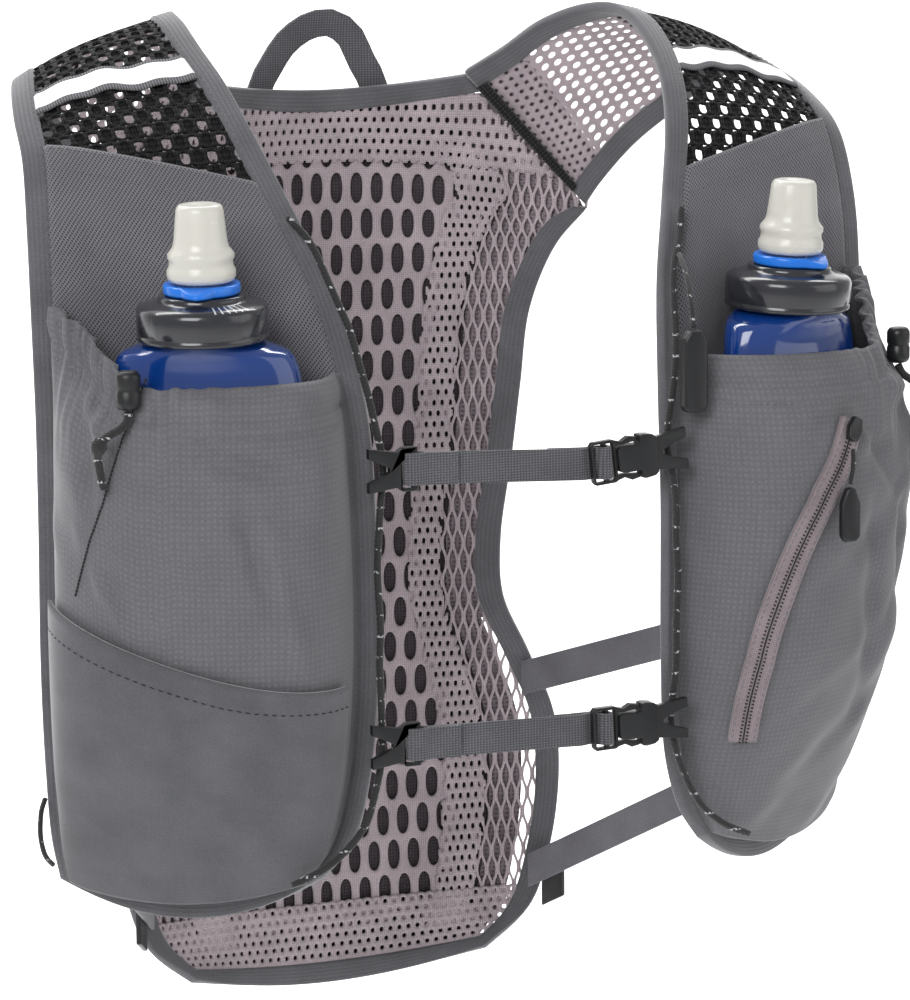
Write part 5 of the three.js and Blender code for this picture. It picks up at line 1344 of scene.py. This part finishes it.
def back_grid(low, high, row_from, row_to, lift):
    rows = np.linspace(row_from, row_to, 150)[:, None]
    across = np.linspace(low, high, 30 if low >= 0 else 60)[None, :]
    reach = 1 - back_border(rows) + BACK_TUCK / back_edge(rows)[..., 0] * (back_border(rows) > 0)
    points = on_back(rows, across * reach, lift)
    middle = on_back(rows, 0 * rows, lift)
    down = np.concatenate([[0], np.cumsum(distance(middle[1:, 0], middle[:-1, 0]))])
    out = distance(points, np.repeat(middle, points.shape[1], 1)) * np.sign(across)
    return points, np.stack([out, np.repeat(down[:, None], points.shape[1], 1)], -1)


def back_panel():
    pieces = []
    for name, row_from, row_to, low, high, cell, smooth, lift in BACK_ZONES:
        spans = [(-high, high)] if low == 0 else [(low, high), (-high, -low)]
        for low_side, high_side in spans:
            points, flat = back_grid(low_side, high_side, row_from, row_to, lift)
            pieces.append(net_on(f"back_{name}_{len(pieces)}", points, flat, cell, back_net, BACK_WALL,
                                 smooth))
            print(pieces[-1].name, len(pieces[-1].data.polygons))
    return joined(pieces, "back_net")


as_sheet(settle(back_panel(), "back_net", "back_panel"))

# A dark ribbed layer shows in the slots, and a lighter one behind the lattice, which is open to the light at
# the lower end of the wearer's left edge only
BACK_LAYER_LIFT = 2.9
BACK_LAYER_WALL = 0.6
# Columns: name, from_row, to_row, low, high and material
BACK_LAYERS = (
    ("middle", 0.3, 13.7, -0.72, 0.72, pouch_cloth),
    ("right_side", 0.3, 13.7, -0.99, -0.70, pale_net_cloth),
    ("left_side", 0.3, 8.4, 0.70, 0.99, pale_net_cloth),
    ("left_low", 8.3, 13.7, 0.70, 0.85, pale_net_cloth),
)
for name, row_from, row_to, low, high, material in BACK_LAYERS:
    rows, across = np.linspace(row_from, row_to, 110)[:, None], np.linspace(low, high, 40)[None, :]
    layer = wall(f"back_layer_{name}", on_back(rows, across, BACK_LAYER_LIFT),
                 on_back(rows, across, BACK_LAYER_LIFT + BACK_LAYER_WALL), material)
    settle(layer, "pouch_cloth")
    as_sheet(layer)

# %% [markdown]
# The rear pouch is a plain ribbed cloth behind the net, and shows dark through its slots.

# %% Rear pouch
POUCH_DEPTH = 15
POUCH_WALL = 2
POUCH_TOP_ROW = 4.3
POUCH_END_ROW = 12.9
POUCH_ACROSS = 0.8
POUCH_CLOSING = 0.3


def pouch_point(part, share, lift):
    side = (1 - np.abs(2 * share - 1) ** 2.4).clip(0) ** (1 / 2.4)
    closing = np.sin(np.pi / 2 * np.minimum(1, (1 - part) / POUCH_CLOSING))
    row = POUCH_TOP_ROW + (POUCH_END_ROW - POUCH_TOP_ROW) * part
    return on_back(row, (2 * share - 1) * POUCH_ACROSS,
                   PANEL_WALL + LAYER_GAP + POUCH_DEPTH * side * closing + lift)


pouch_part, pouch_share = np.linspace(0, 1, 60)[:, None], round_shares(60)[None, :]
pouch = wall("rear_pouch", pouch_point(pouch_part, pouch_share, 0),
             pouch_point(pouch_part, pouch_share, POUCH_WALL),
             pouch_cloth)
as_sheet(settle(pouch, "pouch_cloth", "back_pouch"))

# %% [markdown]
# All the edges are bound with a folded stretch tape. It is a rounded band that follows an edge: each ring
# of it runs from the outer line to the inner line and back on the other side of the cloth.

# %% Bindings
def bound_edge(name, surface, outer, inner, low, high, material, sign=1, sides=16):
    """A rounded band between an outer and an inner line of surface places, from lift low to high."""
    outer, inner = np.asarray(outer, float), np.asarray(inner, float)
    angle = np.linspace(0, 2 * np.pi, sides, endpoint=False)
    across = 0.5 + 0.5 * np.sign(np.cos(angle)) * np.abs(np.cos(angle)) ** 0.35
    rise = 0.5 + 0.5 * np.sign(np.sin(angle)) * np.abs(np.sin(angle)) ** 0.5
    place = outer[:, None] + (inner - outer)[:, None] * across[None, :, None]
    lift = low + (high - low) * rise[None, :] + 0 * place[..., 0]
    return ring_tube(name, surface(place[..., 0], place[..., 1], lift), material, sign=sign)


def edge_tape(side, sign):
    down = np.linspace(0, LAST_STATION, 200)
    hem = np.linspace(0, 1, 60)[1:-1]
    low = np.minimum(down, PANEL_END)
    share = BINDING_WIDTH / panel_width(low)
    last = float(BINDING_WIDTH / panel_width(LAST_STATION))
    outer = [*zip(down, 0 * down), *((LAST_STATION, at) for at in hem), *zip(down[::-1], 0 * down + 1)]
    inner = [*zip(low, share), *((PANEL_END, last + (1 - 2 * last) * at) for at in hem),
             *zip(low[::-1], 1 - share[::-1])]
    return bound_edge(f"edge_tape_{side}", on_panel, outer, inner, -BINDING_PROUD, PANEL_WALL + BINDING_PROUD,
                      binding_tape, sign)


for piece, side in zip(pair(edge_tape), ("left", "right")):
    settle(piece, "binding", f"edge_binding_{side}")

neck_across = np.linspace(-1, 1, 90)
neck_rows = rows_over(BINDING_WIDTH, 0, neck_across, 0.2)
neck_tape = bound_edge("neck_tape", on_back, [*zip(0 * neck_across, neck_across)],
                       [*zip(neck_rows, neck_across)],
                       -BINDING_PROUD, PANEL_WALL + BINDING_PROUD, binding_tape)
settle(neck_tape, "binding", "neck_binding")

side_rows = np.linspace(ARMHOLE_ROW, LAST_BACK_ROW, 150)
hem_across = np.linspace(1, -1, 90)[1:-1]
inner_rows = np.minimum(side_rows, HEM_ROW)
inner_across = 1 - back_border(inner_rows)
back_tape = bound_edge(
    "back_tape", on_back,
    [*zip(side_rows, 0 * side_rows + 1), *zip(0 * hem_across + LAST_BACK_ROW, hem_across),
     *zip(side_rows[::-1], 0 * side_rows - 1)],
    [*zip(inner_rows, inner_across),
     *zip(0 * hem_across + HEM_ROW, hem_across * float(1 - back_border(HEM_ROW))),
     *zip(inner_rows[::-1], -inner_across[::-1])],
    -BINDING_PROUD, PANEL_WALL + BINDING_PROUD, binding_tape)
settle(back_tape, "binding", "back_binding")

# %% [markdown]
# The bright tape crosses each shoulder and lies in gentle waves. A black braided tape covers the seam
# between the strap and the back.

# %% Tapes
SHOULDER_TAPE_AT = 6.6
TAPE_WIDTH = 13.5
TAPE_WALL = 0.8
TAPE_LIFT = 3.5
TAPE_WAVE = 0.45
YOKE_TAPE_WIDTH = 4.6


def shoulder_tape(side, sign):
    half = TAPE_WIDTH / 2 / float(distance(panel_face(SHOULDER_TAPE_AT, 0.5),
                                           panel_face(SHOULDER_TAPE_AT + 1, 0.5)))

    def wave(share):
        return SHOULDER_TAPE_AT + 0.05 * np.sin(share * 9 + sign) + 0.03 * np.sin(share * 21)

    share = np.asarray(sewn_shares(np.linspace(0, 1, 90)))[None, :]
    part = np.linspace(-1, 1, 15)[:, None]
    surface = sewn(inside_panel, 1.9)
    station = wave(share) + half * part
    flat = grid_lengths(surface(station, share, 3.9))
    lift = TAPE_LIFT + TAPE_WAVE * np.sin(flat[..., 0] * 0.16 + 1) ** 2 * np.sin(np.pi * share.clip(0, 1))
    return wall(f"bright_tape_{side}", surface(station, share, lift),
                surface(station, share, lift + TAPE_WALL),
                bright_tape, sign, flat)


def yoke_tape(side, sign):
    end = YOKE_TAPE_WIDTH / float(distance(panel_face(0, 0.5), panel_face(1, 0.5)))
    return cloth_wall(f"seam_tape_{side}", inside_panel, lambda share: 0.02 + 0 * share, end,
                      np.linspace(-0.03, 1.03, 60), 10, -2.2, 1.4, seam_tape, sign)


for side, sign in (("left", 1), ("right", -1)):
    settle(shoulder_tape(side, sign), "bright_tape", f"reflective_tape_{side}")
    settle(yoke_tape(side, sign), "seam_tape", f"yoke_tape_{side}")

# %% [markdown]
# Each flask is one smooth skin through a few sections, with a domed shoulder. The cap, the lever ring and
# the bite valve are turned about the same leaning axis.

# %% Flasks
FLASK_LENGTH = 160
FLASK_WIDTH = 74
FLASK_THICKNESS = 40
FLASK_FORWARD = 3.5
FLASK_SETTLES_AT = 0.28
FLASK_RECENTRED = 0.6
FLASK_PLACE = (117.5, -112.3, -108)
FLASK_SIDE_SHIFT = -3
FLASK_TURN = 25
FLASK_LEAN = 4
# Sections of the flask as shares of its sizes: down, width and thickness
FLASK_SECTIONS = np.array([
    (0.002, 0.54, 0.94), (0.016, 0.70, 0.92), (0.037, 0.86, 0.86), (0.075, 0.92, 0.82), (0.15, 0.96, 0.88),
    (0.28, 1.00, 1.00), (0.64, 0.99, 0.96), (0.85, 0.96, 0.66), (0.97, 0.89, 0.28), (1.00, 0.82, 0.12),
])
LEVER_RADIUS = 14
LEVER_LOW = 16.8
VALVE_LOW = 21.1
VALVE_RADIUS = 12.5
VALVE_HEIGHT = 28
# Radius and height of the cap in mm, from its bottom middle to its top middle
CAP_PROFILE = (
    (0, 0.3), (20, 0.3), (23.4, 0.3), (24, 0.9), (24, 2.2), (23.6, 2.6), (23.6, 3.0), (24, 3.4), (24, 10.4),
    (23.7, 11.8), (22.6, 12.9), (20.5, 13.6), (17.5, 14.2), (16.2, 14.7), (16, 15.5), (15.7, 16.3),
    (15, 16.5), (0, 16.5),
)
# The same for the valve, in shares of its radius and height
VALVE_PROFILE = (
    (0, 0), (0.86, 0), (0.95, 0.02), (1, 0.07), (1, 0.15), (0.94, 0.20), (0.92, 0.27), (0.97, 0.31),
    (0.97, 0.36), (0.90, 0.40), (0.82, 0.45), (0.78, 0.52), (0.74, 0.70), (0.69, 0.92), (0.66, 0.96),
    (0.60, 0.99), (0.50, 1.0), (0.30, 0.985), (0, 0.97),
)


NOSE_REACH = 4
NOSE_DROP = 2
# Rings of the lever from its underside to its top: inset, rise, waved, nosed and dropped
LEVER_RINGS = (
    (2.2, 0.0, 0.0, 0, 0), (0.6, 0.0, 0.0, 1, 0), (0.1, 0.35, 0.0, 1, 0), (0.0, 1.0, 0.1, 1, 0.1),
    (0.0, 2.9, 0.6, 1, 0.9), (0.25, 3.5, 0.8, 1, 1), (0.8, 3.75, 0.8, 1, 1), (2.2, 3.6, 0.5, 0, 0),
)


def flask_axes(sign):
    lean, turn = math.radians(FLASK_LEAN), math.radians(sign * FLASK_TURN)
    tip = np.array([[1, 0, 0], [0, math.cos(lean), -math.sin(lean)], [0, math.sin(lean), math.cos(lean)]])
    spin = np.array([[math.cos(turn), -math.sin(turn), 0], [math.sin(turn), math.cos(turn), 0], [0, 0, 1]])
    origin = (sign * FLASK_PLACE[0] + FLASK_SIDE_SHIFT, FLASK_PLACE[1], FLASK_PLACE[2])
    return spin @ tip, origin


def flask_skin(name):
    section = smooth_curve(FLASK_SECTIONS)(np.linspace(0, 1, 90))
    down, width, thickness = section.T
    settled = np.minimum(1, down / FLASK_SETTLES_AT)
    z = -down * FLASK_LENGTH
    middle = np.stack([-FLASK_SIDE_SHIFT * np.sqrt(settled) * FLASK_RECENTRED,
                       z * math.tan(math.radians(FLASK_LEAN)) - FLASK_FORWARD * settled ** 2, z], -1)
    angle = np.linspace(0, 2 * np.pi, 64, endpoint=False)
    ring = np.stack([np.cos(angle) * width[:, None] * FLASK_WIDTH / 2,
                     np.sin(angle) * thickness[:, None] * FLASK_THICKNESS / 2,
                     0 * angle * width[:, None]], -1)
    return ring_tube(name, middle[:, None] + ring, blue_film)


def seams(angle, height):
    on_side = smoothstep(height, 2.5, 4) * (1 - smoothstep(height, 10, 12.5))
    return sum(0.35 * on_side * np.exp(-((angle - at) / 0.035) ** 2) for at in (4.05, 5.45))


def lever_ring(name):
    angle = np.linspace(0, 2 * np.pi, 96, endpoint=False)
    away = np.abs(angle - 1.5 * np.pi)
    nose = np.clip(1 - away / 0.42, 0, 1) ** 0.8
    wave = 0.35 * np.sin(angle * 4) + 0.5 * np.exp(-(away / 0.3) ** 2)
    rings = []
    for inset, rise, waved, nosed, dropped in LEVER_RINGS:
        reach = LEVER_RADIUS - inset + nosed * NOSE_REACH * nose
        height = LEVER_LOW + rise + waved * wave * 0.3 - dropped * NOSE_DROP * nose
        rings.append(np.stack([reach * np.cos(angle), reach * np.sin(angle), height], -1))
    return ring_tube(name, rings, blue_plastic)


for side, sign in (("left", 1), ("right", -1)):
    turn, origin = flask_axes(sign)
    valve = [(VALVE_RADIUS * radius, VALVE_LOW + VALVE_HEIGHT * height) for radius, height in VALVE_PROFILE]
    settle(placed(flask_skin(f"soft_flask_{side}"), turn, origin), "bottle", f"flask_body_{side}")
    settle(placed(turned_body(f"screw_cap_{side}", CAP_PROFILE, 128, smoke_cap, seams), turn, origin),
           "cap", f"flask_cap_{side}")
    settle(placed(lever_ring(f"lever_ring_{side}"), turn, origin), "lever", f"valve_lever_{side}",
           body=f"mouthpiece_{side}")
    settle(placed(turned_body(f"silicone_valve_{side}", valve, 64, silicone), turn, origin), "valve",
           f"bite_valve_{side}", body=f"mouthpiece_{side}")
print("flasks made")

# %% [markdown]
# The moulded fittings and the plain straps are the solids themselves, with their edges rounded off and
# given a cloth or plastic finish.

# %% Fittings and straps
# Columns: node, material, bevel, slot and the two axes that its weave follows
FINISHES = [
    ("haul_loop", webbing, 0.45, "binding", (0, 2)),
    *((f"chest_{place}_{part}", *look) for place in ("upper", "lower") for part, *look in (
        ("webbing", webbing, 0.35, "webbing", (0, 2)), ("hook", acetal, 0.7, "fitting", (0, 2)),
        ("ladder", acetal, 0.5, "fitting", (0, 2)), ("buckle", acetal, 1.1, "fitting", (0, 2)))),
    *((f"{part}_{side}", *look) for side in ("left", "right") for part, *look in (
        ("side_strap_upper", elastic, 0.4, "elastic", (1, 2)),
        ("side_strap_lower", elastic, 0.4, "elastic", (1, 2)),
        ("strap_keeper", webbing, 0.4, "elastic", (1, 2)), ("side_lock", acetal, 0.6, "fitting", (1, 2)))),
    ("zip_slider", acetal, 0.5, "fitting", (0, 2)),
    ("zip_pull", acetal, 1.3, "fitting", (0, 2)),
]
for node, material, bevel, slot, plane in FINISHES:
    settle(finished(node, f"finished_{node}", material, bevel=bevel, plane=plane), slot, node)

half = LOCK_LENGTH / 2
LOCK_PROFILE = ((0, -half), (2.6, -half), (3.6, -half + 0.4), (4.4, -half + 1.6), (4.5, -half + 2.6),
                (4.5, -0.9), (4.2, -0.5),
                (4.2, 0.5), (4.5, 0.9), (4.5, half - 2.6), (4.4, half - 1.6), (3.6, half - 0.4),
                (2.6, half), (0, half))
for side, sign in (("left", 1), ("right", -1)):
    barrel = turned_body(f"barrel_lock_{side}", LOCK_PROFILE, 48, acetal)
    settle(placed(barrel, np.eye(3), lock_seat(side) * np.array([sign, 1, 1])), "fitting",
           f"cord_lock_{side}")
print("fittings made")

# %% [markdown]
# Stitches are short threads laid along paths. A tree cuts each path into even steps and lays a bead on
# each, drawn out along the path.

# %% Stitch tree
STITCH_INPUTS = ("Pitch", "Length", "Thread")


def stitch_tree():
    tree = bpy.data.node_groups.new("stitches along paths", "GeometryNodeTree")
    tree.interface.new_socket(name="Paths", in_out="INPUT", socket_type="NodeSocketGeometry")
    for name in STITCH_INPUTS:
        tree.interface.new_socket(name=name, in_out="INPUT", socket_type="NodeSocketFloat")
    tree.interface.new_socket(name="Material", in_out="INPUT", socket_type="NodeSocketMaterial")
    tree.interface.new_socket(name="Stitches", in_out="OUTPUT", socket_type="NodeSocketGeometry")
    given = add(tree, "NodeGroupInput").outputs
    line = add(tree, "GeometryNodeMeshToCurve", {0: given["Paths"]}).outputs[0]
    line = add(tree, "GeometryNodeResampleCurve", {"Curve": line, "Length": given["Pitch"]},
               mode="LENGTH").outputs[0]
    run = add(tree, "GeometryNodeInputTangent").outputs[0]
    turn = add(tree, "FunctionNodeAlignRotationToVector", {"Vector": run}, axis="X").outputs[0]
    size = add(tree, "ShaderNodeCombineXYZ",
               {0: given["Length"], 1: given["Thread"], 2: given["Thread"]}).outputs[0]
    bead = add(tree, "GeometryNodeMeshIcoSphere", {"Radius": 0.5, "Subdivisions": 1}).outputs[0]
    laid = add(tree, "GeometryNodeInstanceOnPoints", {"Points": line, "Instance": bead, "Rotation": turn,
                                                      "Scale": size}).outputs[0]
    laid = add(tree, "GeometryNodeRealizeInstances", {0: laid}).outputs[0]
    laid = add(tree, "GeometryNodeSetShadeSmooth", {"Geometry": laid}).outputs[0]
    laid = add(tree, "GeometryNodeSetMaterial", {"Geometry": laid, "Material": given["Material"]}).outputs[0]
    add(tree, "NodeGroupOutput", {0: laid})
    return tree


STITCHES = stitch_tree()


def stitches(name, paths, material, slot, pitch=3.2, length=2.2, thread=0.5, sign=1):
    """Threads along paths in mm, as one piece that rides on the vest."""
    points, edges = [], []
    for path in paths:
        first = len(points)
        points.extend(np.asarray(path).tolist())
        edges.extend((first + step, first + step + 1) for step in range(len(path) - 1))
    points = np.array(points)
    mesh = bpy.data.meshes.new(name)
    mesh.from_pydata(((mirror(points) if sign < 0 else points) * MM).tolist(), edges, [])
    carrier = bpy.data.objects.new(name + "_paths", mesh)
    bpy.context.scene.collection.objects.link(carrier)
    grown(carrier, STITCHES,
          {"Pitch": pitch * MM, "Length": length * MM, "Thread": thread * MM, "Material": material})
    return settle(made_plain(carrier, name), slot)


# %% [markdown]
# The zip runs down the outer side of the left pocket: a woven tape, two rows of teeth on a dark line, and a
# dashed seam outside each edge.

# %% Zip
ZIP_WIDTH = 11
ZIP_LOW = 2.0
ZIP_HIGH = 4.3
zip_place = smooth_curve(ZIP_PATH)(np.linspace(0, 1, 90))
zip_middle = on_pocket(zip_place[:, 0], zip_place[:, 1], ZIP_HIGH)
zip_run = unit(np.gradient(zip_middle, axis=0))
zip_normal = face_normal(pocket_face, zip_place[:, 0], zip_place[:, 1], 0.04, 0.01)
zip_side = unit(np.cross(zip_run, zip_normal))
zip_steps = np.linspace(-0.5, 0.5, 9)[None, :, None] * ZIP_WIDTH
zip_top = zip_middle[:, None] + zip_side[:, None] * zip_steps
zip_under = zip_top - zip_normal[:, None] * (ZIP_HIGH - ZIP_LOW)
settle(wall("woven_zip_tape", zip_under, zip_top, zip_cloth), "zip_tape", "zip_tape")


def beside_zip(aside, rise=0.0):
    return zip_middle + zip_side * aside + zip_normal * rise


stitches("zip_middle_line", [beside_zip(0, 0.1)], black_thread, "zip_tape", 0.9, 1.4, 0.8)
stitches("zip_teeth", [beside_zip(-1.3, 0.1), beside_zip(1.3, 0.1)], black_thread, "zip_tape", 1.5, 0.8, 1.1)
stitches("zip_seams", [beside_zip(-4.4, 0.05), beside_zip(4.4, 0.05)], grey_thread, "zip_tape", 2.6, 1.8,
         0.45)

# %% [markdown]
# The seams follow the same surfaces as the cloths that they hold.

# %% Seams
sleeve_share = np.linspace(0.02, 0.98, 60)
hem_share = round_shares(90)[4:-4]
for side, sign in (("left", 1), ("right", -1)):
    station = np.linspace(0.4, PANEL_END, 180)
    border = (BINDING_WIDTH - 1.6) / panel_width(station)
    stitches(f"edge_seam_{side}", [on_panel(station, border, PANEL_WALL + BINDING_PROUD), on_panel(
        station, 1 - border, PANEL_WALL + BINDING_PROUD)], grey_thread, "binding", 3.4, 2.2, 0.4, sign)
    stitches(f"hem_seam_{side}",
             [on_pocket(hem_line(hem_share) + down, hem_share, POCKET_WALL + 0.35) for down in (
        0.10, 0.42)], grey_thread, "ripstop", 3.0, 2.0, 0.42, sign)
    stitches(f"sleeve_seam_{side}",
             [inside_panel(sleeve_top(sleeve_share) + down, sleeve_share, 5.35) for down in (
        0.05, 0.36)], grey_thread, "panel_mesh", 3.2, 2.1, 0.4, sign)
stretch_share = 0.02 + 0.96 * round_shares(90)[3:-3]
stitches("stretch_seam",
         [on_pocket(stretch_top(stretch_share) + 0.16, stretch_share, STRETCH_LIFT + STRETCH_WALL + 0.1)],
         black_thread, "stretch", 3.2, 2.2, 0.5, -1)
diagonal = smooth_curve(SEAM_PATH)(np.linspace(0, 1, 60))
stitches("pocket_seam", [on_pocket(diagonal[:, 0], diagonal[:, 1], POCKET_WALL + 0.5)], black_thread,
         "ripstop", 1.5, 1.7, 0.9, -1)
print("seams sewn")

# %% [markdown]
# A white floor that curves up to a wall, a broad lamp on each side and an even sky give the soft, nearly
# shadowless light of a product picture.

# %% Floor and light
FLOOR_DROP = 900
STAGE_HALF = 4000
STAGE_BACK = 2500
STAGE_BEND = 900


def make_stage():
    material, tree, shader = new_material("white paper sweep")
    paint(tree, shader, Base_Color=srgb(0xfbfbfb), Roughness=0.9)
    turn = np.linspace(0, math.pi / 2, 12)
    profile = [(-6000, -FLOOR_DROP)] + [
        (STAGE_BACK - STAGE_BEND + STAGE_BEND * math.sin(a),
         -FLOOR_DROP + STAGE_BEND * (1 - math.cos(a))) for a in turn
    ] + [(STAGE_BACK, 3500)]
    points = np.array([[(x, y, z) for x in (-STAGE_HALF, STAGE_HALF)] for y, z in profile])
    stage = new_object("paper_sweep", points.reshape(-1, 3), grid_faces(len(profile), 2, turned=True),
                       material)
    stage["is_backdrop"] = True


def make_lamp(name, place, size, power, target=CAMERA_TARGET):
    data = bpy.data.lights.new(name, "AREA")
    data.shape = "RECTANGLE"
    data.size, data.size_y = size
    data.energy = power
    lamp = bpy.data.objects.new(name, data)
    bpy.context.scene.collection.objects.link(lamp)
    lamp.location = Vector(place) * MM
    aim = Vector(target) * MM - lamp.location
    lamp.rotation_euler = aim.to_track_quat("-Z", "Y").to_euler()


make_stage()
make_lamp("key", (-1300, -1500, 900), (1.1, 1.1), 27)
make_lamp("fill", (1500, -1300, 400), (1.6, 1.6), 8)
make_lamp("backdrop", (0, 1000, 1500), (3.0, 1.5), 110, (0, 2500, -300))
world = bpy.data.worlds.new("even sky")
world.use_nodes = True
world.node_tree.nodes["Background"].inputs["Color"].default_value = (1, 1, 1, 1)
world.node_tree.nodes["Background"].inputs["Strength"].default_value = 0.47
bpy.context.scene.world = world
bpy.context.scene.view_settings.view_transform = "Standard"

# %% Finish
bpy.context.view_layer.update()
low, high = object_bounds()
print("visual box", [round(float(v), 3) for v in (*low, *high)])
